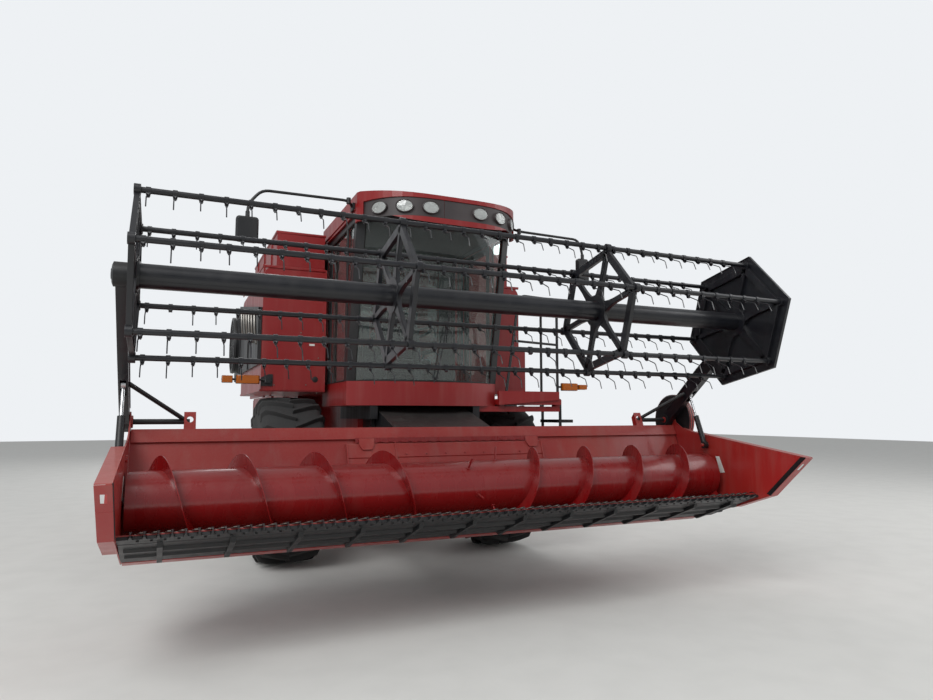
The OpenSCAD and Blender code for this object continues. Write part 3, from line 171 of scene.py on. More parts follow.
class Shape:
    """Points and faces of one piece, gathered before it is made."""

    def __init__(self, place=None):
        self.mesh = bmesh.new()
        self.place = place or Matrix()

    def add(self, points, faces):
        """Adds faces over new points."""
        verts = [self.mesh.verts.new(self.place @ Vector(p)) for p in points]
        for face in faces:
            self.mesh.faces.new([verts[i] for i in face])

    def slab(self, outline, start, end, axis="X"):
        """Draws a flat outline out along an axis; the outline is given in the other two axes' order."""
        order = {"X": (2, 0, 1), "Y": (0, 2, 1), "Z": (0, 1, 2)}[axis]
        n = len(outline)
        points = [[(a, b, c)[i] for i in order] for c in (start, end) for a, b in outline]
        sides = [(i, (i + 1) % n, n + (i + 1) % n, n + i) for i in range(n)]
        self.add(points, [range(n), range(n, 2 * n)] + sides)

    def block(self, low, high):
        """A box between two corners."""
        self.slab([(low[1], low[2]), (high[1], low[2]), (high[1], high[2]), (low[1], high[2])], low[0],
                  high[0])

    def tube(self, path, radius, sides=12, closed=False):
        """A round bar along a path; radius is one size or one for each point."""
        path = [Vector(p) for p in path]
        n = len(path)
        radii = radius if isinstance(radius, (list, tuple)) else [radius] * n
        ahead = [(path[(i + 1) % n] - path[i - 1])
                 if closed else (path[min(i + 1, n - 1)] - path[max(i - 1, 0)])
                 for i in range(n)]
        side = ahead[0].orthogonal().normalized()
        points = []
        for i, p in enumerate(path):
            way = ahead[i].normalized()
            side = (side - way * side.dot(way)).normalized()
            up = way.cross(side)
            points += [p + radii[i]
                       * (side * math.cos(math.tau * k / sides) + up * math.sin(math.tau * k / sides))
                       for k in range(sides)]
        faces = [(sides * i + k, sides * i + (k + 1) % sides,
                  (sides * (i + 1) + (k + 1) % sides) % (sides * n), (sides * (i + 1) + k) % (sides * n))
                 for i in range(n if closed else n - 1) for k in range(sides)]
        if not closed:
            faces += [range(sides), range(sides * (n - 1), sides * n)]
        self.add(points, faces)

    def turn(self, profile, centre=(0, 0, 0), axis="X", steps=48, closed=False, start=0.0):
        """Turns a profile of (along, radius) round an axis; closed joins its last point to its first."""
        rings, points = [], []
        for along, radius in profile:
            count = steps if radius > 1e-6 else 1
            rings.append([len(points) + k for k in range(count)])
            for k in range(count):
                a = start + math.tau * k / steps
                u, v = radius * math.sin(a), radius * math.cos(a)
                p = {"X": (along, u, v), "Y": (u, along, v), "Z": (u, v, along)}[axis]
                points.append(Vector(centre) + Vector(p))
        faces = []
        pairs = list(zip(rings, rings[1:])) + ([(rings[-1], rings[0])] if closed else [])
        for a, b in pairs:
            for k in range(steps):
                m = (k + 1) % steps
                ring = [a[k % len(a)], a[m % len(a)], b[m % len(b)], b[k % len(b)]]
                faces.append(list(dict.fromkeys(ring)))
        if not closed:
            faces += [r for r in (rings[0], rings[-1]) if len(r) > 1]
        self.add(points, [f for f in faces if len(f) > 2])

    def rod(self, start, end, radius, centre=(0, 0, 0), axis="X", steps=24):
        """A round bar with flat ends."""
        self.turn([(start, 0.0), (start, radius), (end, radius), (end, 0.0)], centre, axis, steps)

    def collar(self, start, end, inner, outer, centre=(0, 0, 0), axis="X", steps=24):
        """A plain ring round an axis."""
        self.turn([(start, inner), (start, outer), (end, outer), (end, inner)], centre, axis, steps, True)

    def loft(self, loops, closed=False):
        """Joins loops of points one to one; closed joins the last to the first, else both ends are capped."""
        n = len(loops[0])
        pairs = [(i, (i + 1) % len(loops)) for i in range(len(loops) if closed else len(loops) - 1)]
        faces = [(n * a + k, n * a + (k + 1) % n, n * b + (k + 1) % n, n * b + k) for a, b in pairs
                 for k in range(n)]
        if not closed:
            faces += [range(n), range(n * (len(loops) - 1), n * len(loops))]
        self.add([p for loop in loops for p in loop], faces)

    def take(self, mesh, place=None):
        """Adds a plain mesh."""
        mesh.transform(self.place @ (place or Matrix()))
        self.mesh.from_mesh(mesh)

    def plain(self, name="unit"):
        """Gives the mesh alone, for a node tree to work on."""
        bmesh.ops.recalc_face_normals(self.mesh, faces=self.mesh.faces)
        mesh = bpy.data.meshes.new(name)
        self.mesh.to_mesh(mesh)
        self.mesh.free()
        return mesh

    def piece(self, name, finish, body, stands_for=(), edge=0.0, angle=35, slot=None):
        """Makes the piece with its finish, its rounded edges, its body and the nodes that it stands for."""
        mesh = self.plain(name)
        mesh.materials.append(bpy.data.materials[finish])
        fitted(mesh, name, body, stands_for, edge, angle)


def fitted(mesh, name, body, stands_for=(), edge=0.0, angle=35):
    """Puts a mesh in the scene as a piece that rides on a body."""
    mesh.polygons.foreach_set("use_smooth", [True] * len(mesh.polygons))
    mesh.set_sharp_from_angle(angle=math.radians(angle))
    obj = bpy.data.objects.new(name, mesh)
    bpy.context.collection.objects.link(obj)
    if edge:
        bevel = obj.modifiers.new("edges", "BEVEL")
        bevel.width = edge
        bevel.segments = 2
        bevel.limit_method = "ANGLE"
        bevel.angle_limit = math.radians(angle)
        bevel.harden_normals = True
    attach(obj, body)
    if stands_for:
        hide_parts(*stands_for)
    return obj


def add(tree, kind, inputs=None, **settings):
    """Adds a node with its settings; an input takes a value or a socket to link."""
    item = tree.nodes.new(kind)
    for key, value in settings.items():
        setattr(item, key, value)
    for key, value in (inputs or {}).items():
        if isinstance(value, bpy.types.NodeSocket):
            tree.links.new(value, item.inputs[key])
        else:
            item.inputs[key].default_value = value
    return item


def new_tree(name, sockets):
    """A geometry tree with its named inputs, given as name, kind and default."""
    tree = bpy.data.node_groups.new(name, "GeometryNodeTree")
    tree.interface.new_socket("Geometry", in_out="INPUT", socket_type="NodeSocketGeometry")
    tree.interface.new_socket("Geometry", in_out="OUTPUT", socket_type="NodeSocketGeometry")
    for text, kind, default in sockets:
        socket = tree.interface.new_socket(text, in_out="INPUT", socket_type="NodeSocket" + kind)
        if default is not None:
            socket.default_value = default
    return tree, add(tree, "NodeGroupInput").outputs


def close_tree(tree, made, finish):
    """Ends a tree: its copies become real and take their finish."""
    real = add(tree, "GeometryNodeRealizeInstances", {0: made}).outputs[0]
    named = add(tree, "GeometryNodeSetMaterial", {"Geometry": real, "Material": finish}).outputs[0]
    add(tree, "NodeGroupOutput", {"Geometry": named})


def repeat_tree():
    """Copies of one shape in a row or round the X axis, some bent or lost by a fixed seed."""
    tree, given = new_tree("repeat", [
        ("Count", "Int", 10), ("Pitch", "Vector", (0.1, 0, 0)), ("Turn", "Vector", (0, 0, 0)),
        ("Bend", "Float", 0.0), ("Lost", "Float", 0.0), ("Seed", "Int", 7), ("Finish", "Material", None)])
    line = add(tree, "GeometryNodeMeshLine", {"Count": given["Count"], "Offset": given["Pitch"]},
               mode="OFFSET")
    index = add(tree, "GeometryNodeInputIndex").outputs[0]
    steady = add(tree, "ShaderNodeVectorMath", {0: given["Turn"], "Scale": index},
                 operation="SCALE").outputs[0]
    less = add(tree, "ShaderNodeMath", {0: given["Bend"], 1: -1.0}, operation="MULTIPLY").outputs[0]
    low = add(tree, "ShaderNodeCombineXYZ", {"X": less}).outputs[0]
    high = add(tree, "ShaderNodeCombineXYZ", {"X": given["Bend"]}).outputs[0]
    chance = add(tree, "FunctionNodeRandomValue", {0: low, 1: high, "Seed": given["Seed"]},
                 data_type="FLOAT_VECTOR")
    turned = add(tree, "ShaderNodeVectorMath", {0: steady, 1: chance.outputs[0]}, operation="ADD").outputs[0]
    lost = add(tree, "FunctionNodeRandomValue", {"Probability": given["Lost"], "Seed": given["Seed"]},
               data_type="BOOLEAN").outputs[3]
    # The turn is stored before points are lost, so what is left keeps its place in it
    held = add(tree, "GeometryNodeStoreNamedAttribute",
               {"Geometry": line.outputs[0], "Name": "turned", "Value": turned}, data_type="FLOAT_VECTOR",
               domain="POINT").outputs[0]
    kept = add(tree, "GeometryNodeDeleteGeometry", {"Geometry": held, "Selection": lost}).outputs[0]
    read = add(tree, "GeometryNodeInputNamedAttribute", {"Name": "turned"},
               data_type="FLOAT_VECTOR").outputs[0]
    rotation = add(tree, "FunctionNodeEulerToRotation", {0: read}).outputs[0]
    copies = add(tree, "GeometryNodeInstanceOnPoints", {"Points": kept, "Instance": given["Geometry"],
                                                       "Rotation": rotation}).outputs[0]
    close_tree(tree, copies, given["Finish"])


def flight_tree():
    """A screw flight: a flat grid wound round the X axis between two radii."""
    tree, given = new_tree("flight", [
        ("Inner", "Float", 0.2), ("Outer", "Float", 0.3), ("Pitch", "Float", 0.53), ("Length", "Float", 2.0),
        ("Hand", "Float", 1.0), ("Thickness", "Float", 0.006), ("Steps", "Int", 180),
        ("Finish", "Material", None)])
    grid = add(tree, "GeometryNodeMeshGrid",
               {"Size X": 1.0, "Size Y": 1.0, "Vertices X": given["Steps"], "Vertices Y": 3})
    spot = add(tree, "ShaderNodeSeparateXYZ", {0: add(tree, "GeometryNodeInputPosition").outputs[0]}).outputs
    along = add(tree, "ShaderNodeMath", {0: spot["X"], 1: 0.5}, operation="ADD").outputs[0]
    across = add(tree, "ShaderNodeMath", {0: spot["Y"], 1: 0.5}, operation="ADD").outputs[0]
    radius = add(tree, "ShaderNodeMapRange",
                 {"Value": across, "To Min": given["Inner"], "To Max": given["Outer"]}).outputs[0]
    x = add(tree, "ShaderNodeMath", {0: along, 1: given["Length"]}, operation="MULTIPLY").outputs[0]
    turns = add(tree, "ShaderNodeMath", {0: x, 1: given["Pitch"]}, operation="DIVIDE").outputs[0]
    handed = add(tree, "ShaderNodeMath", {0: turns, 1: given["Hand"]}, operation="MULTIPLY").outputs[0]
    angle = add(tree, "ShaderNodeMath", {0: handed, 1: math.tau}, operation="MULTIPLY").outputs[0]
    y = add(tree, "ShaderNodeMath", {0: angle}, operation="COSINE").outputs[0]
    z = add(tree, "ShaderNodeMath", {0: angle}, operation="SINE").outputs[0]
    wide_y = add(tree, "ShaderNodeMath", {0: y, 1: radius}, operation="MULTIPLY").outputs[0]
    wide_z = add(tree, "ShaderNodeMath", {0: z, 1: radius}, operation="MULTIPLY").outputs[0]
    place = add(tree, "ShaderNodeCombineXYZ", {0: x, 1: wide_y, 2: wide_z}).outputs[0]
    wound = add(tree, "GeometryNodeSetPosition", {"Geometry": grid.outputs[0], "Position": place}).outputs[0]
    thick = add(tree, "GeometryNodeExtrudeMesh",
                {"Mesh": wound, "Offset Scale": given["Thickness"], "Individual": False})
    flipped = add(tree, "GeometryNodeFlipFaces", {0: wound}).outputs[0]
    joined = add(tree, "GeometryNodeJoinGeometry")
    for part in (flipped, thick.outputs[0]):
        tree.links.new(part, joined.inputs[0])
    welded = add(tree, "GeometryNodeMergeByDistance",
                 {"Geometry": joined.outputs[0], "Distance": 0.0001}).outputs[0]
    close_tree(tree, welded, given["Finish"])


def evaluated(obj):
    """The object as its modifiers leave it."""
    return obj.evaluated_get(bpy.context.evaluated_depsgraph_get())


def settled(base, tree, **values):
    """Runs a node tree on a mesh and gives the plain mesh that comes out."""
    obj = bpy.data.objects.new("making", base)
    made = obj.modifiers.new("made", "NODES")
    made.node_group = tree
    for item in tree.interface.items_tree:
        if item.in_out == "INPUT" and item.name in values:
            made[item.identifier] = values[item.name]
    bpy.context.collection.objects.link(obj)
    mesh = bpy.data.meshes.new_from_object(evaluated(obj))
    bpy.data.objects.remove(obj)
    return mesh


def row(unit, count, pitch, **more):
    """Copies of a shape in a straight row."""
    return settled(unit.plain(), bpy.data.node_groups["repeat"], Count=count, Pitch=pitch, **more)


def ring(unit, count, **more):
    """Copies of a shape round the X axis."""
    return settled(unit.plain(), bpy.data.node_groups["repeat"], Count=count, Pitch=(0.0, 0.0, 0.0),
                   Turn=(math.tau / count, 0.0, 0.0), **more)


def new_finish(name):
    """An empty material with its shader, ready for nodes."""
    material = bpy.data.materials.new(name)
    material.use_nodes = True
    tree = material.node_tree
    tree.nodes.clear()
    shader = add(tree, "ShaderNodeBsdfPrincipled")
    add(tree, "ShaderNodeOutputMaterial", {"Surface": shader.outputs[0]})
    return tree, shader


def band(tree, value, low, high, strength=1.0):
    """Turns a value to a mask that rises from nothing at low to strength at high."""
    return add(tree, "ShaderNodeMapRange", {"Value": value, "From Min": low, "From Max": high,
                                            "To Max": strength}).outputs[0]


def layered(tree, base, layers):
    """Lays colours over a base, each by its mask."""
    for mask, colour in layers:
        base = add(tree, "ShaderNodeMix", {"Factor": mask, 6: base, 7: colour}, data_type="RGBA").outputs[2]
    return base


def enamel(name, base, faded, soil, rough, dirt=0.5, wear=0.3, relief=0.0006, gloss=0.0, bare="#4a352c"):
    """Sprayed enamel on steel: faded patches, rain streaks, dust on top, chips and a slight orange peel."""
    tree, shader = new_finish(name)
    place = add(tree, "ShaderNodeTexCoord").outputs["Object"]
    up = add(tree, "ShaderNodeSeparateXYZ",
             {0: add(tree, "ShaderNodeNewGeometry").outputs["Normal"]}).outputs["Z"]
    # Patches about a metre across, streaks a hand wide and grain a few millimetres across
    patch = add(tree, "ShaderNodeTexNoise", {"Vector": place, "Scale": 1.3, "Detail": 5.0}).outputs[0]
    grain = add(tree, "ShaderNodeTexNoise",
                {"Vector": place, "Scale": 55.0, "Detail": 6.0, "Roughness": 0.7}).outputs[0]
    drawn = add(tree, "ShaderNodeMapping", {"Vector": place, "Scale": (11.0, 11.0, 1.1)}).outputs[0]
    streak = add(tree, "ShaderNodeTexNoise", {"Vector": drawn, "Scale": 1.0, "Detail": 4.0}).outputs[0]
    flake = add(tree, "ShaderNodeTexNoise",
                {"Vector": place, "Scale": 17.0, "Detail": 8.0, "Roughness": 0.75}).outputs[0]
    lying = add(tree, "ShaderNodeMath", {0: band(tree, up, 0.15, 0.95), 1: band(tree, grain, 0.2, 0.7)},
                operation="MULTIPLY").outputs[0]
    dusty = add(tree, "ShaderNodeMath", {0: lying, 1: dirt}, operation="MULTIPLY").outputs[0]
    chipped = band(tree, flake, 0.72 - 0.06 * wear, 0.74 - 0.06 * wear, wear)
    colour = layered(tree, base, [(band(tree, patch, 0.4, 0.7, 0.75), tone(faded)),
                                  (band(tree, streak, 0.5, 0.8, 0.5 * dirt), tone(soil)),
                                  (dusty, tone(soil)), (chipped, tone(bare))])
    shine = add(tree, "ShaderNodeMapRange", {"Value": streak, "From Min": 0.3, "From Max": 0.8,
                                             "To Min": rough, "To Max": min(1.0, rough + 0.22)}).outputs[0]
    dull = add(tree, "ShaderNodeMath", {0: shine, 1: dusty}, operation="ADD", use_clamp=True).outputs[0]
    height = add(tree, "ShaderNodeMath", {0: grain, 1: chipped}, operation="SUBTRACT").outputs[0]
    bump = add(tree, "ShaderNodeBump", {"Height": height, "Distance": relief, "Strength": 0.6}).outputs[0]
    tree.links.new(colour, shader.inputs["Base Color"])
    tree.links.new(dull, shader.inputs["Roughness"])
    tree.links.new(bump, shader.inputs["Normal"])
    shader.inputs["Coat Weight"].default_value = gloss
    shader.inputs["Coat Roughness"].default_value = 0.12


def moulded(name, base, other, rough, scale, relief, metal=0.0, spread=0.12):
    """A body colour with a second tone and a fine relief, for rubber, plastic, castings and bare steel."""
    tree, shader = new_finish(name)
    place = add(tree, "ShaderNodeTexCoord").outputs["Object"]
    cloud = add(tree, "ShaderNodeTexNoise", {"Vector": place, "Scale": 3.0, "Detail": 6.0}).outputs[0]
    grain = add(tree, "ShaderNodeTexNoise", {"Vector": place, "Scale": scale, "Detail": 4.0}).outputs[0]
    colour = layered(tree, base, [(band(tree, cloud, 0.4, 0.75, 0.8), linear(other))])
    shine = add(tree, "ShaderNodeMapRange", {"Value": cloud, "From Min": 0.3, "From Max": 0.7,
                                             "To Min": rough, "To Max": min(1.0, rough + spread)}).outputs[0]
    bump = add(tree, "ShaderNodeBump", {"Height": grain, "Distance": relief, "Strength": 0.7}).outputs[0]
    tree.links.new(colour, shader.inputs["Base Color"])
    tree.links.new(shine, shader.inputs["Roughness"])
    tree.links.new(bump, shader.inputs["Normal"])
    shader.inputs["Metallic"].default_value = metal
    return shader


def clear(name, colour, rough, see_through, ior, film_low=0.5, film_most=0.35):
    """Glass or clear plastic with a film of dust in it."""
    tree, shader = new_finish(name)
    place = add(tree, "ShaderNodeTexCoord").outputs["Object"]
    film = add(tree, "ShaderNodeTexNoise", {"Vector": place, "Scale": 4.0, "Detail": 7.0}).outputs[0]
    shine = add(tree, "ShaderNodeMapRange", {"Value": film, "From Min": 0.45, "From Max": 0.8,
                                             "To Min": rough, "To Max": rough + film_most / 2}).outputs[0]
    tree.links.new(shine, shader.inputs["Roughness"])
    tree.links.new(layered(tree, colour, [(band(tree, film, film_low, 0.9, film_most), linear("#8a8378"))]),
                   shader.inputs["Base Color"])
    shader.inputs["Transmission Weight"].default_value = see_through
    shader.inputs["IOR"].default_value = ior


class HARVESTER_OT_finishes(bpy.types.Operator):
    """Makes every finish and the node trees, and dresses the engineering nodes"""
    bl_idname = "harvester.finishes"
    bl_label = "Finishes"

    def execute(self, context):
        c = context.scene.harvester_colours
        repeat_tree()
        flight_tree()
        # Alkyd enamel on sheet steel: deep red, faded and dusty after years outdoors, still slightly glossy
        enamel("red_enamel", c.machine, "#8e1d1c", c.dust, 0.34, dirt=0.22, wear=0.25, gloss=0.2)
        enamel("header_enamel", c.header, "#a9352c", c.dust, 0.28, dirt=0.4, wear=0.5, gloss=0.3)
        enamel("auger_enamel", c.auger, "#8b1517", c.dust, 0.18, dirt=0.12, wear=0.3, gloss=0.5)
        # Black enamel on steel tube and plate: satin, greyed by dust, rubbed to bare steel in spots
        enamel("black_enamel", c.black, "#1b1c1f", "#6f665e", 0.38, dirt=0.18, wear=0.3, gloss=0.1,
               bare="#4a4643")
        enamel("reel_enamel", c.reel, "#14161d", "#5e5a58", 0.28, dirt=0.12, wear=0.3, gloss=0.3,
               bare="#55555a")
        # Grey enamel on cast steel: a rough sand-cast skin under the paint, oily and dusty
        enamel("cast_enamel", linear("#2e3033"), "#3d3c3a", "#7d7268", 0.5, dirt=0.6, wear=0.3, relief=0.0015)
        # Natural rubber: near black, matt, greyed with dust
        moulded("tyre_rubber", c.rubber, "#3a3632", 0.78, 160.0, 0.0008)
        moulded("seal_rubber", linear("#141415"), "#222222", 0.6, 240.0, 0.0003)
        # Moulded polypropylene and rotomoulded polyethylene: dark, fine grained, low sheen
        moulded("moulded_polypropylene", linear("#232426"), "#2e2e30", 0.55, 400.0, 0.0003)
        moulded("rotomoulded_polyethylene", linear("#1d1e20"), "#2b2a29", 0.5, 60.0, 0.0006)
        # Grey cast iron: dark, granular, dull
        moulded("cast_iron", linear("#3c3b3a"), "#4d4237", 0.62, 260.0, 0.0012, metal=0.6)
        # Hard chrome on a cylinder's rod: bright and smooth
        moulded("hard_chrome", linear("#c9cbce"), "#b4b4b2", 0.12, 500.0, 0.0001, metal=1.0, spread=0.1)
        # Acrylonitrile styrene acrylate sheet: a dark brown grey, satin, dusty
        moulded("asa_sheet", linear("#3b3536"), "#4d4646", 0.45, 300.0, 0.0002)
        # Vacuum-coated aluminium inside a lamp: pale and bright, with a slight blur
        moulded("vacuum_aluminium", linear("#d6d6d6"), "#b9b4b2", 0.25, 90.0, 0.0004, metal=0.7, spread=0.2)
        # Bare tool steel and drawn spring wire: grey, with brown rust starting
        moulded("bare_steel", linear("#8b8883"), "#5d4a3d", 0.34, 220.0, 0.0004, metal=0.9, spread=0.3)
        moulded("spring_wire", linear("#2a2b2f"), "#4b4845", 0.4, 300.0, 0.0003, metal=0.4, spread=0.2)
        # Silvered mirror glass: a clean reflection
        moulded("mirror_glass", linear("#dfe3e4"), "#d2d6d6", 0.03, 20.0, 0.0, metal=1.0, spread=0.04)
        # White reflective sheet: bright and satin
        moulded("reflective_sheet", linear("#e6e6e2"), "#cfcac0", 0.35, 500.0, 0.0002)
        # Laminated glass, slightly tinted; polycarbonate and acrylic lenses
        clear("tinted_glass", c.glass, 0.0, 0.97, 1.5, film_low=0.62, film_most=0.10)
        clear("lamp_polycarbonate", linear("#e9ecea"), 0.05, 0.7, 1.58)
        clear("amber_acrylic", c.amber, 0.08, 0.45, 1.49)
        # Red lamp acrylic: deep red and clear
        clear("red_acrylic", linear("#a3201c"), 0.08, 0.4, 1.49)
        # Woven polyester: matt, a fine mottled nap with a soft sheen, drawn at 4 mm so that it shows
        shader = moulded("woven_polyester", linear("#2a2b2e"), "#38393c", 0.9, 250.0, 0.0005)
        shader.inputs["Sheen Weight"].default_value = 0.3
        dress = {
            "red_enamel": "separator_body elevators grain_tank tank_extension cab_shell cab_roof platform "
                          "engine_deck rear_hood unload_elbow unload_tube side_shield_left side_shield_right "
                          "rim_front_left rim_front_right rim_rear_left rim_rear_right",
            "header_enamel": "header_trough header_ends header_drive",
            "auger_enamel": "auger_tube auger_flights",
            "black_enamel": "frame cab_door ladder_and_rails mirror_and_lamp_arms air_screen feeder_house "
                            "cutterbar lift_barrels reel_barrels",
            "reel_enamel": "reel_arms reel_rotor tine_bar_1 tine_bar_2 tine_bar_3 tine_bar_4 tine_bar_5 "
                           "tine_bar_6",
            "cast_enamel": "front_axle rear_axle knuckle_left knuckle_right spreader_disc_left "
                           "spreader_disc_right",
            "cast_iron": "engine", "tinted_glass": "cab_glass door_glass", "lamp_polycarbonate": "roof_lamps",
            "amber_acrylic": "amber_lamps", "woven_polyester": "seat",
            "moulded_polypropylene": "cab_controls",
            "rotomoulded_polyethylene": "fuel_tank", "hard_chrome": "lift_rods reel_rods",
            "bare_steel": "knife",
            "tyre_rubber": "tyre_front_left tyre_front_right tyre_rear_left tyre_rear_right",
        }
        for finish, names in dress.items():
            for name in names.split():
                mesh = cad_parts[name].data
                mesh.materials.clear()
                mesh.materials.append(bpy.data.materials[finish])
        return {"FINISHED"}


def tyre(side, front):
    """A tyre: its carcass turned from one profile, and two rows of lugs that meet at the middle."""
    s = bpy.context.scene.harvester_sizes
    centre, name, body = wheel(side, front)
    r, half, bead = (0.900, 0.330, 0.4065) if front else (0.630, 0.190, 0.305)
    high = s.lug_height if front else s.lug_height * 0.5
    depth = r - high
    wall = [(0.0, depth), (0.45, depth - 0.004), (0.80, depth - 0.018), (0.93, depth - 0.045),
            (0.985, depth - 0.09), (1.0, bead + 0.56 * (depth - bead)), (0.97, bead + 0.35 * (depth - bead)),
            (0.86, bead + 0.12 * (depth - bead)), (0.80, bead + 0.03), (0.78, bead)]
    right = [(half * x * 0.97, y) for x, y in wall]
    right += [(half * 0.70, bead), (half * 0.75, bead + 0.4 * (depth - bead)), (0.0, depth - 0.03)]
    profile = right + [(-x, y) for x, y in reversed(right[:-1])][:-1]
    shape = Shape(Matrix.Translation(centre))
    shape.turn(profile, steps=96 if front else 72, closed=True)
    lug = Shape()
    count = s.lug_count if front else s.lug_count + 2
    stations = [(-0.04, 0.0), (0.30, 0.0), (0.62, -0.006), (0.88, -0.022), (1.0, -0.085)]
    for hand, late in ((1, 0.0), (-1, 0.5)):
        points = []
        for across, drop in stations:
            x = hand * half * across
            middle = -0.62 * abs(across) * half / r + late * math.tau / count
            foot = s.lug_width * (0.5 if front else 0.42) / r
            top, low = r + drop, depth - 0.05 + drop * 1.1
            for angle, radius in ((middle - foot, low), (middle - foot * 0.62, top),
                                  (middle + foot * 0.62, top), (middle + foot, low)):
                points.append(spun(radius, -angle, x))
        faces = [(4 * i + k, 4 * i + (k + 1) % 4, 4 * i + 4 + (k + 1) % 4, 4 * i + 4 + k)
                 for i in range(len(stations) - 1) for k in range(4)]
        lug.add(points, faces + [(0, 1, 2, 3), tuple(len(points) - 4 + k for k in range(4))])
    shape.take(ring(lug, count))
    shape.piece(f"tyre_{name}_tread", "tyre_rubber", body, (f"tyre_{name}",), edge=0.006 if front else 0.004,
                angle=40)


class HARVESTER_OT_tyres(bpy.types.Operator):
    """Makes the four tyres with their lugs"""
    bl_idname = "harvester.tyres"
    bl_label = "Tyres"

    def execute(self, context):
        for side in (1, -1):
            tyre(side, True)
            tyre(side, False)
        return {"FINISHED"}


def hexagon(radius):
    """Six corners in line with the tine bars, given as level y and z."""
    return [(REEL.y + radius * math.sin(bat(k)), REEL.z + radius * math.cos(bat(k))) for k in range(BATS)]


def spider(shape, x, depth):
    """A pressed spider: channels round its rim, flared spokes and a hub plate."""
    for k in range(BATS):
        for outer, inner, x0, x1 in ((0.525, 0.519, -depth, depth), (0.461, 0.455, -depth, depth),
                                     (0.522, 0.458, -depth, -depth + 0.005)):
            a, b = hexagon(outer), hexagon(inner)
            shape.slab([a[k], a[(k + 1) % BATS], b[(k + 1) % BATS], b[k]], x + x0, x + x1)
        way = (math.sin(bat(k)), math.cos(bat(k)))
        across = (way[1], -way[0])
        stations = [(0.075, 0.085), (0.10, 0.060), (0.14, 0.040), (0.19, 0.028), (0.26, 0.022),
                    (0.515, 0.022)]

        def spot(radius, off):
            return (REEL.y + way[0] * radius + across[0] * off, REEL.z + way[1] * radius + across[1] * off)

        web = [spot(r, w) for r, w in stations] + [spot(r, -w) for r, w in reversed(stations)]
        shape.slab(web, x - depth, x - depth + 0.005)
        for hand in (1, -1):
            lip = [spot(r, hand * w) for r, w in stations]
            back = [spot(r, hand * (w - 0.005)) for r, w in reversed(stations)]
            shape.slab(lip + back, x - depth, x + depth)
        boss = (x, REEL.y + way[0] * BAT_R, REEL.z + way[1] * BAT_R)
        shape.collar(-depth - 0.004, depth + 0.004, 0.0195, 0.035, boss, steps=20)
    shape.turn([(-depth - 0.006, 0.078), (-depth - 0.006, 0.135), (-depth, 0.135), (-depth, 0.095),
                (depth + 0.012, 0.092), (depth + 0.012, 0.078)], (x, REEL.y, REEL.z), steps=32, closed=True)


class HARVESTER_OT_reel(bpy.types.Operator):
    """Makes the reel: spiders, end shield, main tube, tine bars with their spring tines and clamps"""
    bl_idname = "harvester.reel"
    bl_label = "Reel"

    def execute(self, context):
        s = context.scene.harvester_sizes
        rotor = Shape(HEADER)
        centre = (0, REEL.y, REEL.z)
        rotor.turn([(-2.86, 0.0), (-2.86, 0.034), (-2.74, 0.034), (-2.74, 0.079), (2.31, 0.079),
                    (2.31, 0.034), (2.42, 0.034), (2.42, 0.0)], centre, steps=40)
        for x in SPIDERS:
            spider(rotor, x, 0.016)
        dish = [(-0.010, 0.0), (-0.010, 0.600), (-0.018, 0.602), (-0.018, 0.610), (0.010, 0.610),
                (0.010, 0.596), (0.004, 0.580), (0.004, 0.500), (0.012, 0.486), (0.012, 0.200),
                (0.004, 0.186), (0.004, 0.120), (0.010, 0.0)]
        rotor.turn(dish, (REEL_LEFT, REEL.y, REEL.z), steps=BATS, start=bat(0))
        for k in range(2 * BATS):
            angle = bat(k / 2)
            way = Vector((0, math.sin(angle), math.cos(angle)))
            reach = 0.49 * (1 if k % 2 == 0 else math.cos(math.pi / 6))
            root = Vector((REEL_LEFT + 0.012, REEL.y, REEL.z))
            rotor.tube([root + way * 0.2, root + way * reach], 0.009, sides=6)
        rotor.piece("reel_spiders", "reel_enamel", "reel", ("reel_rotor",), edge=0.0015)
        coil = [Vector((0.006, 0.0, -0.010)), Vector((0.006, 0.006, -0.022))]
        coil += [Vector((0.006 - 0.012 * t, -0.002 + 0.014 * math.sin(1.2 + t * 9.0),
                         -0.034 + 0.014 * math.cos(1.2 + t * 9.0)))
                 for t in (i / 13 for i in range(14))]
        coil += [Vector((-0.006, -0.080, -0.108)), Vector((-0.006, -0.085, -0.120)),
                 Vector((-0.006, -0.085, -0.180))]
        first, count = REEL_RIGHT + 0.06, 32
        for i in range(BATS):
            middle = Vector((0, REEL.y + BAT_R * math.sin(bat(i)), REEL.z + BAT_R * math.cos(bat(i))))
            bar = Shape(HEADER)
            bar.rod(-2.744, 2.285, 0.019, middle, steps=20)
            unit = Shape()
            unit.tube(coil, s.tine_wire / 2, sides=5)
            tines = row(unit, count, (s.tine_pitch, 0.0, 0.0), Bend=0.10, Lost=0.05, Seed=11 + i)
            clamp = Shape()
            clamp.collar(-0.014, 0.014, 0.019, 0.024, steps=14)
            clamp.block((-0.012, -0.012, -0.034), (0.012, 0.012, -0.020))
            for made in (tines, row(clamp, count, (s.tine_pitch, 0.0, 0.0))):
                bar.take(made, Matrix.Translation(middle + Vector((first, 0, 0))))
            name = f"tine_bar_{i + 1}"
            bar.piece(name + "_tines", "reel_enamel", name, (name,), angle=50)
        return {"FINISHED"}


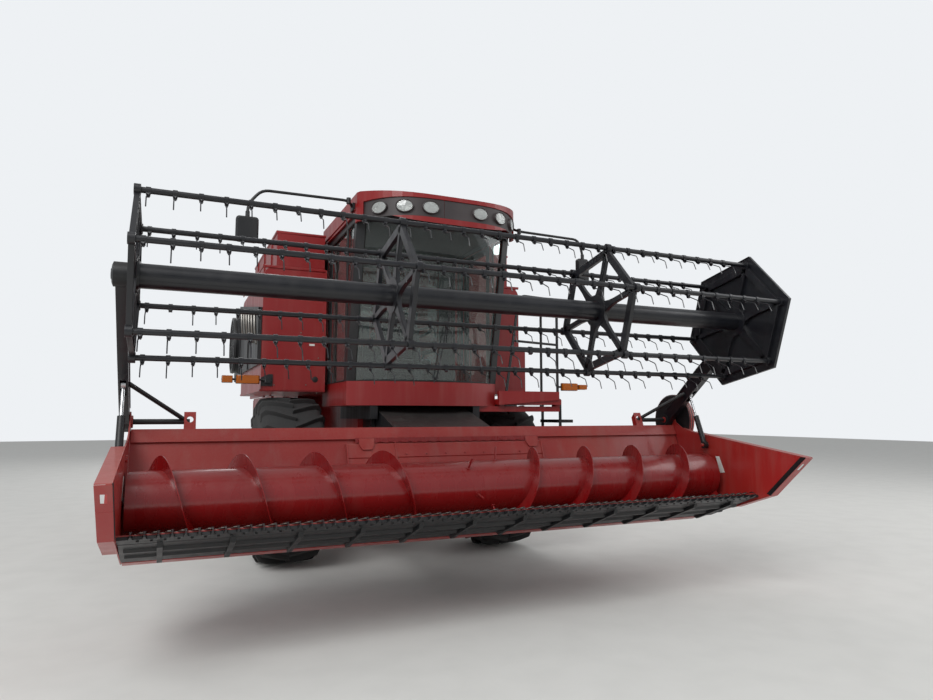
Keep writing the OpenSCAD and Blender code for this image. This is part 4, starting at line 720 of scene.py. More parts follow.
class HARVESTER_OT_auger(bpy.types.Operator):
    """Makes the table auger's flights and its retracting fingers"""
    bl_idname = "harvester.auger"
    bl_label = "Auger"

    def execute(self, context):
        s = context.scene.harvester_sizes
        flights = Shape(HEADER)
        for x0, x1, hand in ((-2.697, -0.630, 1.0), (0.030, 2.323, -1.0)):
            turned = settled(Shape().plain(), bpy.data.node_groups["flight"], Inner=0.203, Outer=0.305,
                             Pitch=s.flight_pitch, Length=x1 - x0, Hand=hand, Thickness=0.006,
                             Steps=int((x1 - x0) / s.flight_pitch * 48))
            flights.take(turned, Matrix.Translation((x0, AUGER.y, AUGER.z)))
        flights.piece("auger_flight_strips", "auger_enamel", "table_auger", ("auger_flights",), angle=60)
        fingers = Shape(HEADER)
        for i, x in enumerate((-0.486, -0.380, -0.276, -0.165, -0.059, 0.02, -0.43, -0.225)):
            angle = 0.6 + i * 2.3
            foot = AUGER + spun(0.195, angle, x)
            fingers.tube([foot, AUGER + spun(0.318, angle, x)], 0.008, sides=10)
            fingers.tube([foot, AUGER + spun(0.212, angle, x)], 0.020, sides=14)
        fingers.piece("auger_fingers", "auger_enamel", "table_auger")
        return {"FINISHED"}


def flange(shape, a, b, x0, x1, thick=0.005, slot=None):
    """A folded flange from a to b in the header's side view; slot gives a hole's middle and size each way."""
    a, b = Vector((0, *a)), Vector((0, *b))
    run = b - a
    length = run.length
    run.normalize()
    out = Vector((0, run.z, -run.y)) * thick
    sizes = [(x0, x1, 0.0, length)]
    if slot:
        cx, wide, cl, long = slot
        sizes.append((cx - wide / 2, cx + wide / 2, cl - long / 2, cl + long / 2))
    loops = []
    for low_x, high_x, low_l, high_l in sizes:
        corners = [(low_x, low_l), (high_x, low_l), (high_x, high_l), (low_x, high_l)]
        loops.append([a + run * l + Vector((x, 0, 0)) for x, l in corners])
    raised = [[p + out for p in loop] for loop in loops]
    if slot:
        shape.loft([loops[0], loops[1], raised[1], raised[0]], closed=True)
    else:
        shape.loft([loops[0], raised[0]])


def bolts(shape, place, width, count=1, pitch=(0, 0, 0), circle=0.0):
    """Hexagon bolt heads with washers, standing along the X axis of place, in a row or round a circle."""
    head = Shape(Matrix.Translation((0, 0, circle)))
    head.rod(0.0, width * 0.12, width * 0.75, steps=12)
    head.turn([(width * 0.1, 0.0), (width * 0.1, width * 0.56), (width * 0.5, width * 0.56),
               (width * 0.6, width * 0.46), (width * 0.6, 0.0)], steps=6)
    shape.take(ring(head, count) if circle else row(head, count, pitch), place)


class HARVESTER_OT_header(bpy.types.Operator):
    """Makes the header's folded beam, its feed panel, lugs, end sheets, reflectors, guards and black belly"""
    bl_idname = "harvester.header"
    bl_label = "Header"

    def execute(self, context):
        s = context.scene.harvester_sizes
        left, right = HEADER_LEFT, HEADER_RIGHT
        sheet = Shape(HEADER)
        # A folded cap over the back sheet's top, and the raised frame round the feed opening
        sheet.slab([(0.770, 0.842), (0.778, 0.949), (0.906, 0.949), (0.906, 0.842), (0.900, 0.842),
                    (0.900, 0.943), (0.786, 0.943), (0.778, 0.842)], right + 0.004, left - 0.004)
        sheet.slab([(0.779, 0.548), (0.768, 0.552), (0.762, 0.560), (0.762, 0.668), (0.756, 0.674),
                    (0.756, 0.792), (0.762, 0.800), (0.779, 0.800)], -1.13, 0.74)
        for x in (-1.140, -0.716, 0.728):
            sheet.slab([(0.748, 0.552), (0.748, 0.800), (0.779, 0.800), (0.779, 0.552)], x, x + 0.012)
        for x in (-0.965, 0.635):
            sheet.slab([(x - 0.066, 0.838), (x - 0.066, 0.784), (x - 0.040, 0.738), (x + 0.040, 0.738),
                        (x + 0.066, 0.784), (x + 0.066, 0.838)], 0.742, 0.749, axis="Y")
        for x in (-2.348, 1.989):
            eye = [(x + 0.025 * math.sin(k * math.tau / 24), 1.030 + 0.025 * math.cos(k * math.tau / 24))
                   for k in range(24)]
            edge = [(x + max(-0.043, min(0.043, 0.075 * math.sin(k * math.tau / 24))),
                     1.020 + max(-0.072, min(0.072, 0.105 * math.cos(k * math.tau / 24)))) for k in range(24)]
            sheet.loft([[(px, y, pz) for px, pz in loop] for y, loop in
                        ((0.786, edge), (0.786, eye), (0.794, eye), (0.794, edge))], closed=True)
            for side in (-0.043, 0.037):
                sheet.slab([(0.790, 0.946), (0.790, 1.085), (0.840, 1.060), (0.850, 0.946)], x + side,
                           x + side + 0.006)
        bolts(sheet, Matrix.Translation((-0.62, 0.757, 0.700)) @ AHEAD, s.bolt * 0.5, 7, (0.0, 0.185, 0.0))
        sheet.piece("header_back_frame", "header_enamel", "header", edge=0.003)
        # A serrated strip in the darker auger red under the top beam: painted shade, standing in for the
        # shadowed slot beneath the beam's lip
        strip = Shape(HEADER)
        teeth = 40
        saw = [(0.71 - 1.77 * i / teeth, 0.800 + (0.010 if i % 2 else 0.0)) for i in range(teeth + 1)]
        strip.slab([(-1.06, 0.845), (0.71, 0.845)] + saw, 0.751, 0.757, axis="Y")
        strip.piece("header_slot_shade", "auger_enamel", "header", slot="header_red")
        self.end_sheets(left, right)
        self.cutting(s, left, right)
        belly = Shape(HEADER)
        belly.slab([(0.112, -0.020), (0.112, -0.034), (0.625, -0.046), (0.625, -0.030)], right + 0.002,
                   left - 0.002)
        ribs, pitch = 12, 0.43
        for i in range(ribs):
            x = right + 0.22 + i * pitch
            belly.slab([(0.100, -0.030), (0.130, -0.062), (0.600, -0.072), (0.640, -0.034)], x, x + 0.035)
        for y in (0.235, 0.42):
            belly.slab([(y, -0.036), (y + 0.02, -0.056), (y + 0.05, -0.056), (y + 0.07, -0.040)],
                       right + 0.03, left - 0.03)
        belly.piece("header_belly", "black_enamel", "header", edge=0.003)
        return {"FINISHED"}

    def end_sheets(self, left, right):
        """The end sheets as folded plates with a flange all round, the arms' pins and the reflectors."""
        tip, knee, low, back = (-0.617, 0.139), (0.549, 0.788), (-0.140, -0.055), (0.788, -0.030)
        top = [knee, (0.660, 0.870), (0.730, 0.960), (0.745, 1.078), (0.873, 1.078), (0.873, 0.883),
               (0.788, 0.863)]
        ends = Shape(HEADER)
        for side, x0 in ((1, left), (-1, right)):
            ends.slab([back, low, tip] + top, min(x0, x0 + side * 0.010), max(x0, x0 + side * 0.010))
            a, b = sorted((x0, x0 + side * 0.088))
            flange(ends, knee if side > 0 else (0.300, 0.649), tip, a, b, 0.006)
            flange(ends, (-0.40, 0.051), low, a, b)
            flange(ends, tip, (-0.40, 0.051), a, b, slot=((a + b) / 2, 0.034, 0.120, 0.080))
            flange(ends, low, (0.30, -0.044), a, b)
            if side > 0:
                flange(ends, (0.660, 0.870), knee, x0, x0 + 0.045)
            for y, z0, z1, reach in ((0.16, -0.040, 0.560, 0.080), (0.02, -0.045, 0.480, 0.080)):
                ends.slab([(y, z0), (y + 0.012, z0), (y + 0.012, z1), (y, z1)],
                          *sorted((x0 + side * 0.009, x0 + side * reach)))
            for radius, (y, z) in ((0.030, (0.818, 1.023)), (0.016, (0.400, 0.600))):
                near, far = (x0 - 0.077, x0 + 0.001) if side > 0 else (x0 - 0.087, x0 - 0.009)
                ends.rod(near, far, radius, (0, y, z))
                ends.collar(x0 - 0.004, x0 + 0.012, radius, radius * 1.6, (0, y, z))
        ends.piece("header_end_sheets", "header_enamel", "header", ("header_ends",), edge=0.003)
        marks = Shape(HEADER)
        tall, long = [[(0.339, 0.462), (0.297, 0.448), (0.288, 0.284), (0.345, 0.297)],
                      [(-0.366, 0.048), (-0.366, 0.066), (-0.575, 0.146), (-0.585, 0.136)]]
        for outline, x in ((tall, left - 0.002), (long, left - 0.002), (tall, right - 0.001)):
            marks.slab(outline, x, x + 0.003)
        # A black strip along the inside of each divider's lower front edge: painted shade, standing in for
        # the flange's shaded inside
        flange_shade = Shape(HEADER)
        for x in (left - 0.003, right - 0.002):
            flange_shade.slab([(-0.625, 0.142), (-0.142, -0.058), (-0.110, -0.030), (-0.575, 0.160)], x, x + 0.005)
        flange_shade.piece("divider_flange_shade", "black_enamel", "header")
        marks.piece("divider_reflectors", "reflective_sheet", "header", slot="header_red")

    def cutting(self, s, left, right):
        """The cutter bar with its pointed guards, and the knife with its toothed sections."""
        count = int((left - right - 0.040) / s.guard_pitch)
        first = right + (left - right - count * s.guard_pitch) / 2 + s.guard_pitch / 2
        bar = Shape(HEADER)
        bar.slab([(-0.010, -0.0118), (-0.010, -0.0318), (0.110, -0.0318), (0.110, -0.0118)], right, left)
        guard = Shape()
        half = [(0.018, 0.015, 0.010), (0.000, 0.016, 0.012), (-0.020, 0.011, 0.011), (-0.052, 0.005, 0.006)]
        guard.loft([[(w, y, -0.022 + h), (-w, y, -0.022 + h), (-w, y, -0.022 - h), (w, y, -0.022 - h)]
                    for y, w, h in half])
        guard.loft([[(w, y, z0), (-w, y, z0), (-w, y, z0 + t), (w, y, z0 + t)] for y, w, z0, t in
                    ((0.006, 0.010, 0.0085, 0.007), (-0.020, 0.008, 0.0085, 0.005),
                     (-0.048, 0.004, -0.012, 0.004))])
        bar.take(row(guard, count, (s.guard_pitch, 0.0, 0.0)), Matrix.Translation((first, -0.002, 0)))
        bolts(bar, Matrix.Translation((first + s.guard_pitch / 2, 0.030, -0.032)) @ DOWN, s.bolt * 0.45,
              count - 1, (0.0, 0.0, s.guard_pitch))
        bar.piece("knife_guards", "black_enamel", "header", ("cutterbar",))
        knife = Shape(HEADER)
        start = first + 0.020
        knife.block((start, 0.008, 0.0005), (start + (count - 2) * s.guard_pitch, 0.034, 0.0052))
        tooth = Shape()
        tooth.loft([[(w, y, 0.0007), (-w, y, 0.0007), (-w + c, y, 0.0052), (w - c, y, 0.0052)] for y, w, c in
                    ((0.010, 0.034, 0.004), (-0.030, 0.014, 0.004), (-0.034, 0.010, 0.002))])
        knife.take(row(tooth, count - 2, (s.guard_pitch, 0.0, 0.0)),
                   Matrix.Translation((start + s.guard_pitch / 2, 0, 0)))
        bolts(knife, Matrix.Translation((start + s.guard_pitch / 4, 0.022, 0.005)) @ UP, 0.010,
              2 * (count - 2), (0.0, 0.0, -s.guard_pitch / 2))
        knife.piece("knife_sections", "bare_steel", "knife", ("knife",), slot="knife_steel")


class HARVESTER_OT_arms(bpy.types.Operator):
    """Makes the reel arms with their pivot tubes, braces and bearings, and the reel drive"""
    bl_idname = "harvester.arms"
    bl_label = "Reel arms"

    def execute(self, context):
        s = context.scene.harvester_sizes
        arms = Shape(HEADER)
        ahead = (REEL - ARM_PIVOT).normalized()
        up = Vector((0, ahead.z, -ahead.y))
        for x, lug in ((HEADER_LEFT - 0.035, 1.989), (HEADER_RIGHT - 0.045, -2.348)):
            inward = 1 if lug > x else -1
            start = x + inward * 0.050
            # The pivot tube to the lug on the beam, and the brace from its end to the arm
            arms.tube([ARM_PIVOT + Vector((start, 0, 0)), ARM_PIVOT + Vector((lug, 0, 0))], 0.021, sides=20)
            foot = ARM_PIVOT + ahead * 0.42 + Vector((x + inward * 0.030, 0, 0)) + up * 0.01
            arms.tube([foot, ARM_PIVOT + Vector((lug - inward * 0.03, 0, 0)) + up * 0.012], 0.017, sides=16)
            arms.collar(-0.038, 0.038, 0.031, 0.062, ARM_PIVOT + Vector((x, 0, 0)), steps=28)
            # The reel shaft's bearing with its housing, and the plates over the arm's end
            centre = REEL + Vector((x, 0, 0))
            arms.turn([(-0.052, 0.036), (-0.052, 0.058), (-0.044, 0.078), (0.044, 0.078), (0.052, 0.058),
                       (0.052, 0.036)],
                      centre, steps=28, closed=True)
            bolts(arms, Matrix.Translation(centre + Vector((0.043, 0, 0))), s.bolt * 0.6, 4, circle=0.066)
            outline = [ARM_PIVOT + ahead * l + up * h for l, h in
                       ((0.10, 0.066), (0.71, 0.080), (1.32, 0.062), (1.32, 0.050), (0.71, 0.062),
                        (0.10, 0.048))]
            arms.slab([(p.y, p.z) for p in outline], x - 0.037, x + 0.037)
        arms.piece("reel_arm_fittings", "black_enamel", "reel_arms", edge=0.003, slot="reel_black")
        drive = Shape(HEADER)
        centre = ARM_PIVOT + Vector((HEADER_LEFT + 0.035, 0, 0))
        drive.turn([(0.0, 0.0), (0.0, 0.262), (0.006, 0.270), (0.020, 0.272), (0.028, 0.264), (0.038, 0.272),
                    (0.052, 0.270), (0.058, 0.262), (0.058, 0.090), (0.030, 0.080), (0.030, 0.050),
                    (0.070, 0.050), (0.070, 0.0)], centre)
        spokes = 6
        for k in range(spokes):
            way = spun(1.0, k * math.tau / spokes)
            drive.tube([centre + way * 0.06 + Vector((0.045, 0, 0)),
                        centre + way * 0.25 + Vector((0.045, 0, 0))], 0.012, sides=8)
        drive.tube([centre + Vector((-0.045, 0, 0)), centre + Vector((0.02, 0, 0))], 0.030, sides=20)
        drive.piece("reel_drive_disc", "black_enamel", "header", edge=0.002)
        return {"FINISHED"}


# The cab: half its width, the windscreen's front and half its pane, the red band's top, the cab's top,
# the windscreen's lean and the radius of its bow, and how far the fascia stands in from the roof's edge
CAB_HALF, CAB_FRONT, PANE_HALF, SILL, CAB_TOP = 0.850, -1.977, 0.776, 1.950, 3.610
LEAN = 0.350 / (CAB_TOP - SILL)
BOW = 2.1394
FASCIA = 0.015


def screen(x, z, out=0.0):
    """How far forward the windscreen stands at x and z, moved outwards by out."""
    sag = (BOW - math.sqrt((BOW + out) ** 2 - x * x)) * math.hypot(1, LEAN)
    return CAB_FRONT + sag - (z - SILL) * LEAN


def visor(x, inset=0.0):
    """How far forward the roof's edge stands at x, drawn in by inset."""
    return -2.660 + inset + 0.450 * (x / (0.880 - inset)) ** 4


def spread(a, b, n):
    """Even steps from a to b."""
    return [a + (b - a) * i / n for i in range(n + 1)]


def pad(half_w, half_h, bend, middle=(0, 0), steps=5):
    """A rectangle with rounded corners about its middle."""
    corners = ((1, 1, 0), (-1, 1, 1), (-1, -1, 2), (1, -1, 3))
    return [(middle[0] + sx * (half_w - bend) + bend * math.cos(a),
             middle[1] + sz * (half_h - bend) + bend * math.sin(a))
            for sx, sz, quarter in corners
            for a in spread(quarter * math.pi / 2, (quarter + 1) * math.pi / 2, steps)]


def gasket(shape, corners, x, radius=0.008):
    """A rubber strip round a pane that stands across the X axis."""
    points = [Vector((x, y, z)) for y, z in corners]
    start = (points[0] + points[-1]) / 2
    shape.tube(rounded([start] + points + [start], 0.04), radius, sides=8)


def side_posts(shape, x0, x1):
    """The posts and the top strip of one cab side, as plates between x0 and x1."""
    x0, x1 = sorted((x0, x1))
    low, high, band_low = SILL, CAB_TOP - 0.002, CAB_TOP - 0.058
    shape.slab([(screen(CAB_HALF, low), low), (-1.770, low), (-1.770, 2.330), (-2.060, 3.550), (-2.060, high),
                (screen(CAB_HALF, high), high)], x0, x1)
    shape.slab([(-2.060, band_low), (-0.652, band_low), (-0.652, high), (-2.060, high)], x0, x1)
    for y0, y1 in ((-1.770, -1.729), (-1.041, -0.968), (-0.772, -0.652)):
        shape.slab([(y0, low), (y1, low), (y1, band_low), (y0, band_low)], x0, x1)


def stuffed(shape, name):
    """A cushion: its shape swells as cloth under pressure, no point of it moving further than the cap."""
    obj = bpy.data.objects.new("making", shape.plain())
    bpy.context.collection.objects.link(obj)
    remesh = obj.modifiers.new("voxels", "REMESH")
    remesh.mode = "VOXEL"
    remesh.voxel_size = VOXEL
    mesh = bpy.data.meshes.new_from_object(evaluated(obj))
    obj.modifiers.clear()
    obj.data = mesh
    cloth = obj.modifiers.new("cloth", "CLOTH")
    cloth.settings.use_pressure = True
    cloth.settings.uniform_pressure_force = PRESSURE
    cloth.settings.effector_weights.gravity = 0.0
    for moment in range(SWELLING):
        bpy.context.scene.frame_set(moment + 1)
    swollen = evaluated(obj).data
    for before, after in zip(mesh.vertices, swollen.vertices):
        move = after.co - before.co
        before.co = before.co + move * min(1.0, CAP / max(move.length, 1e-9))
    bpy.context.scene.frame_set(1)
    obj.modifiers.clear()
    bpy.data.objects.remove(obj)
    mesh.materials.append(bpy.data.materials["woven_polyester"])
    fitted(mesh, name, "chassis", angle=60)


class HARVESTER_OT_cab(bpy.types.Operator):
    """Makes the roof's fascia and lamps, the posts, seals and wiper, the lining, controls, seat and door"""
    bl_idname = "harvester.cab"
    bl_label = "Cab"

    def execute(self, context):
        self.fascia()
        self.posts()
        self.lining()
        self.controls()
        self.seat()
        self.door()
        return {"FINISHED"}

    def fascia(self):
        """The dark panel in the roof's front, its red ends, six oval lamps, drip rails and a rear grille."""
        panel = Shape()
        for x0, x1 in ((-0.838, -0.122), (-0.118, 0.838)):
            panel.loft([[(x, visor(x, FASCIA) + back, z) for back, z in
                         ((-0.006, 3.513), (-0.006, 3.692), (0.007, 3.692), (0.007, 3.513))]
                        for x in spread(x0, x1, 20)])
        for i in range(9):
            panel.block((-0.36, -0.652, 3.655 + 0.018 * i), (0.36, -0.640, 3.663 + 0.018 * i))
        panel.piece("roof_fascia", "asa_sheet", "chassis", edge=0.001, slot="machine_red")
        rim = Shape()
        for side in (1, -1):
            loops = []
            for t in (72, 75, 78, 81, 84, 87, 90, 91):
                sine = math.sin(math.radians(min(t, 90)))
                late = 0.058 if t > 90 else 0.0
                outer = (side * 0.881 * sine, -2.661 + 0.450 * sine ** 4 + late)
                inner = (side * 0.863 * sine, -2.643 + 0.450 * sine ** 4 + late)
                loops.append([(*outer, 3.508), (*outer, 3.697), (*inner, 3.697), (*inner, 3.508)])
            rim.loft(loops)
            x0, x1 = sorted((side * 0.878, side * 0.892))
            rim.slab([(-2.150, 3.640), (-0.660, 3.640), (-0.660, 3.652), (-2.150, 3.652)], x0, x1)
        rim.piece("roof_edges", "red_enamel", "chassis", edge=0.002)
        bezel, lens, bowl = Shape(), Shape(), Shape()
        for side in (1, -1):
            for x in (0.264, 0.509, 0.710):
                turn = side * math.atan(1.8 * (x / 0.865) ** 3 / 0.865)
                place = (Matrix.Translation((side * x, visor(x, FASCIA), 3.6025))
                         @ Matrix.Rotation(turn, 4, "Z")
                         @ Matrix.Diagonal((0.085, 1.0, 0.0625, 1.0)))
                for shape, closed, profile in (
                        (bezel, True,
                         [(0.004, 0.86), (0.004, 1.04), (-0.026, 1.04), (-0.031, 0.98), (-0.026, 0.90)]),
                        (lens, False,
                         [(-0.031, 0.0), (-0.029, 0.45), (-0.023, 0.90), (-0.019, 0.90), (-0.025, 0.45),
                                       (-0.027, 0.0)]),
                        (bowl, False,
                         [(-0.011, 0.0), (-0.013, 0.6), (-0.020, 0.89), (-0.004, 0.89), (-0.004, 0.0)])):
                    shape.place = place
                    shape.turn(profile, axis="Y", steps=36, closed=closed)
        bezel.piece("roof_lamp_bezels", "asa_sheet", "chassis", slot="lamp_lens")
        lens.piece("roof_lamp_lenses", "lamp_polycarbonate", "chassis", ("roof_lamps",))
        bowl.piece("roof_lamp_bowls", "vacuum_aluminium", "chassis")

    def posts(self):
        """Black covers over the corner posts and the window frames, the rubber seals and the wiper."""
        trim, seal = Shape(), Shape()
        for side in (1, -1):
            loops = []
            for z in spread(SILL, CAB_TOP - 0.002, 8):
                edge = screen(CAB_HALF, z) + 0.03
                loops.append([(side * x, y, z) for x, y in
                              ((PANE_HALF, screen(PANE_HALF, z, 0.004)), (0.857, screen(0.857, z, 0.004)),
                               (0.857, edge), (0.845, edge), (0.845, screen(0.845, z, -0.004)),
                               (PANE_HALF, screen(PANE_HALF, z, -0.004)))])
            trim.loft(loops)
            side_posts(trim, side * 0.8485, side * 0.856)
            gasket(seal, [(-1.775, 2.350), (-1.775, 3.545), (-2.052, 3.545)], side * CAB_HALF)
            gasket(seal, [(-0.965, 1.955), (-0.965, 3.545), (-0.775, 3.545), (-0.775, 1.955)],
                   side * CAB_HALF)
        gasket(seal, [(-1.724, 1.957), (-1.724, 3.545), (-1.046, 3.545), (-1.046, 1.957)], -CAB_HALF)
        trim.loft([[(x, screen(x, z, out), z) for z, out in
                    ((3.568, 0.004), (3.608, 0.004), (3.608, -0.004), (3.568, -0.004))]
                   for x in spread(-PANE_HALF, PANE_HALF, 16)])
        trim.piece("cab_post_covers", "black_enamel", "chassis", edge=0.002, slot="cab_plastic")
        around = [(x, SILL + 0.006) for x in spread(-0.774, 0.774, 14)]
        around += [(x, 3.566) for x in spread(0.774, -0.774, 14)]
        seal.tube([(x, screen(x, z, -0.004), z) for x, z in around], 0.009, sides=8, closed=True)
        seal.piece("glass_seals", "seal_rubber", "chassis", slot="cab_plastic")
        wiper = Shape()
        spindle = Vector((0.06, screen(0.06, 1.985, 0.02), 1.985))
        wiper.tube([spindle + Vector((0, 0.03, 0)), spindle - Vector((0, 0.016, 0))], 0.016, sides=14)
        arm = [(0.06 + 0.10 * t, screen(0.06 + 0.10 * t, 1.985 + 0.80 * t, 0.028), 1.985 + 0.80 * t)
               for t in spread(0, 1, 6)]
        wiper.tube(arm, [0.011, 0.009, 0.008, 0.007, 0.007, 0.006, 0.006], sides=8)
        blade = [(0.145 + 0.03 * t, screen(0.145 + 0.03 * t, 2.36 + 0.85 * t, 0.010), 2.36 + 0.85 * t)
                 for t in spread(0, 1, 10)]
        wiper.tube(blade, 0.007, sides=6)
        wiper.piece("wiper", "moulded_polypropylene", "chassis")

    def lining(self):
        """Dark panels inside the cab: floor, headlining, rear wall, posts and under the windscreen."""
        inside = Shape()
        front = [(x, screen(x, SILL) + 0.075) for x in spread(-0.78, 0.78, 14)]
        inside.slab(front + [(0.79, -0.71), (-0.79, -0.71)], 1.801, 1.807, axis="Z")
        top = [(x, screen(x, CAB_TOP) + 0.075) for x in spread(-0.78, 0.78, 14)]
        inside.slab(top + [(0.79, -0.71), (-0.79, -0.71)], 3.596, 3.608, axis="Z")
        inside.loft([[(x, screen(x, SILL) + y, z)
                      for y, z in ((0.055, 1.802), (0.055, 1.948), (0.064, 1.948), (0.064, 1.802))]
                     for x in spread(-0.79, 0.79, 14)])
        for x0, x1, z0, z1 in ((-0.795, -0.6, 1.802, 3.6), (0.6, 0.795, 1.802, 3.6), (-0.6, 0.6, 1.802, 2.2),
                               (-0.6, 0.6, 3.41, 3.6)):
            inside.block((x0, -0.709, z0), (x1, -0.701, z1))
        side_posts(inside, -0.799, -0.792)
        side_posts(inside, 0.799, 0.792)
        inside.block((-0.799, -1.78, 1.802), (-0.792, -0.71, SILL))
        inside.piece("cab_lining", "moulded_polypropylene", "chassis", edge=0.002)

    def controls(self):
        """The steering column with its wheel, the pedals, the side console with its lever and the display."""
        parts = Shape()
        parts.tube([(0, -1.640, 1.806), (0, -1.600, 2.02), (0, -1.540, 2.30), (0, -1.484, 2.54)],
                   [0.062, 0.055, 0.046, 0.040], sides=20)
        place = Matrix.Translation((0, -1.480, 2.560)) @ Matrix.Rotation(math.radians(-20), 4, "X")
        parts.place = place
        parts.tube([(0.19 * math.cos(a), 0.19 * math.sin(a), 0) for a in spread(0, math.tau * 35 / 36, 35)],
                   0.015, closed=True)
        parts.turn([(-0.030, 0.0), (-0.030, 0.045), (0.004, 0.055), (0.014, 0.040), (0.016, 0.0)], axis="Z",
                   steps=28)
        spokes = 3
        for k in range(spokes):
            a = math.tau * k / spokes + math.pi / 2
            parts.tube([(0.04 * math.cos(a), 0.04 * math.sin(a), -0.006),
                        (0.18 * math.cos(a), 0.18 * math.sin(a), 0)], 0.011,
                       sides=10)
        parts.place = Matrix()
        parts.slab([(-1.500, 1.808), (-0.900, 1.808), (-0.900, 2.300), (-1.020, 2.360), (-1.330, 2.360),
                    (-1.500, 2.240)], -0.600,
                   -0.325)
        parts.slab(pad(0.055, 0.19, 0.03, (-0.375, -1.13)), 2.375, 2.420, axis="Z")
        parts.tube([(-0.46, -1.37, 2.34), (-0.46, -1.38, 2.46)], 0.012, sides=10)
        parts.turn([(-0.03, 0.012), (-0.01, 0.026), (0.03, 0.024), (0.045, 0.0)], (-0.46, -1.38, 2.48),
                   axis="Z", steps=18)
        parts.tube([(-0.60, -1.45, 2.25), (-0.63, -1.56, 2.44)], 0.012, sides=10)
        parts.slab(pad(0.075, 0.10, 0.012, (-0.63, 2.52)), -1.585, -1.550, axis="Y")
        for x in (0.12, 0.22, -0.16):
            parts.tube([(x, -1.72, 1.81), (x, -1.76, 1.90)], 0.008, sides=8)
            parts.slab(pad(0.035, 0.045, 0.008, (x, 1.93)), -1.785, -1.770, axis="Y")
        parts.piece("steering_and_console", "moulded_polypropylene", "chassis", ("cab_controls",), edge=0.003)

    def seat(self):
        """The operator's seat: a rubber bellows on its foot, and stuffed cushions."""
        stand = Shape()
        stand.slab(pad(0.20, 0.19, 0.03, (0, -1.14)), 1.807, 1.830, axis="Z")
        stand.loft([[(x, y, z) for x, y in pad(half, half - 0.01, 0.05, (0, -1.14))]
                    for half, z in ((0.185 - 0.018 * (i % 2), 1.830 + 0.030 * i) for i in range(9))])
        stand.slab(pad(0.23, 0.22, 0.03, (0, -1.15)), 2.070, 2.128, axis="Z")
        for side in (1, -1):
            stand.slab([(-1.30, 2.330), (-0.95, 2.330), (-0.95, 2.372), (-1.29, 2.372)],
                       *sorted((side * 0.275, side * 0.325)))
            stand.tube([(side * 0.30, -0.98, 2.34), (side * 0.27, -0.93, 2.20)], 0.014, sides=10)
        stand.piece("seat_stand", "seal_rubber", "chassis", ("seat",), edge=0.004, slot="seat_fabric")
        base, back = Shape(), Shape()
        for x, half, high in ((0.0, 0.165, 0.0), (-0.20, 0.048, 0.014), (0.20, 0.048, 0.014)):
            base.slab(pad(half, 0.235, 0.03, (x, -1.165)), 2.138, 2.222 + high, axis="Z")
            back.slab([(-0.982, 2.262), (-0.916, 2.262), (-0.842, 2.858), (-0.898 - high, 2.858)], x - half,
                      x + half)
        for shape in (base, back):
            bmesh.ops.bevel(shape.mesh, geom=shape.mesh.edges[:], offset=0.010, segments=2, affect="EDGES")
        stuffed(base, "seat_cushion")
        stuffed(back, "seat_back")

    def door(self):
        """The door's red lower panel, its seal and its handle."""
        panel = Shape()
        panel.slab([(-1.700, 1.815), (-1.050, 1.815), (-1.050, 1.948), (-1.700, 1.948)], 0.843, 0.849)
        panel.piece("door_panel", "red_enamel", "cab_door", edge=0.002)
        fittings = Shape()
        gasket(fittings, [(-1.668, 1.962), (-1.668, 3.484), (-1.106, 3.484), (-1.106, 1.962)], 0.843)
        fittings.tube(rounded([(0.840, -1.080, 2.05), (0.885, -1.080, 2.07), (0.885, -1.080, 2.53),
                               (0.840, -1.080, 2.55)], 0.03),
                      0.010, sides=10)
        fittings.slab(pad(0.024, 0.060, 0.010, (-1.078, 2.18)), 0.842, 0.856)
        fittings.piece("door_fittings", "moulded_polypropylene", "cab_door")


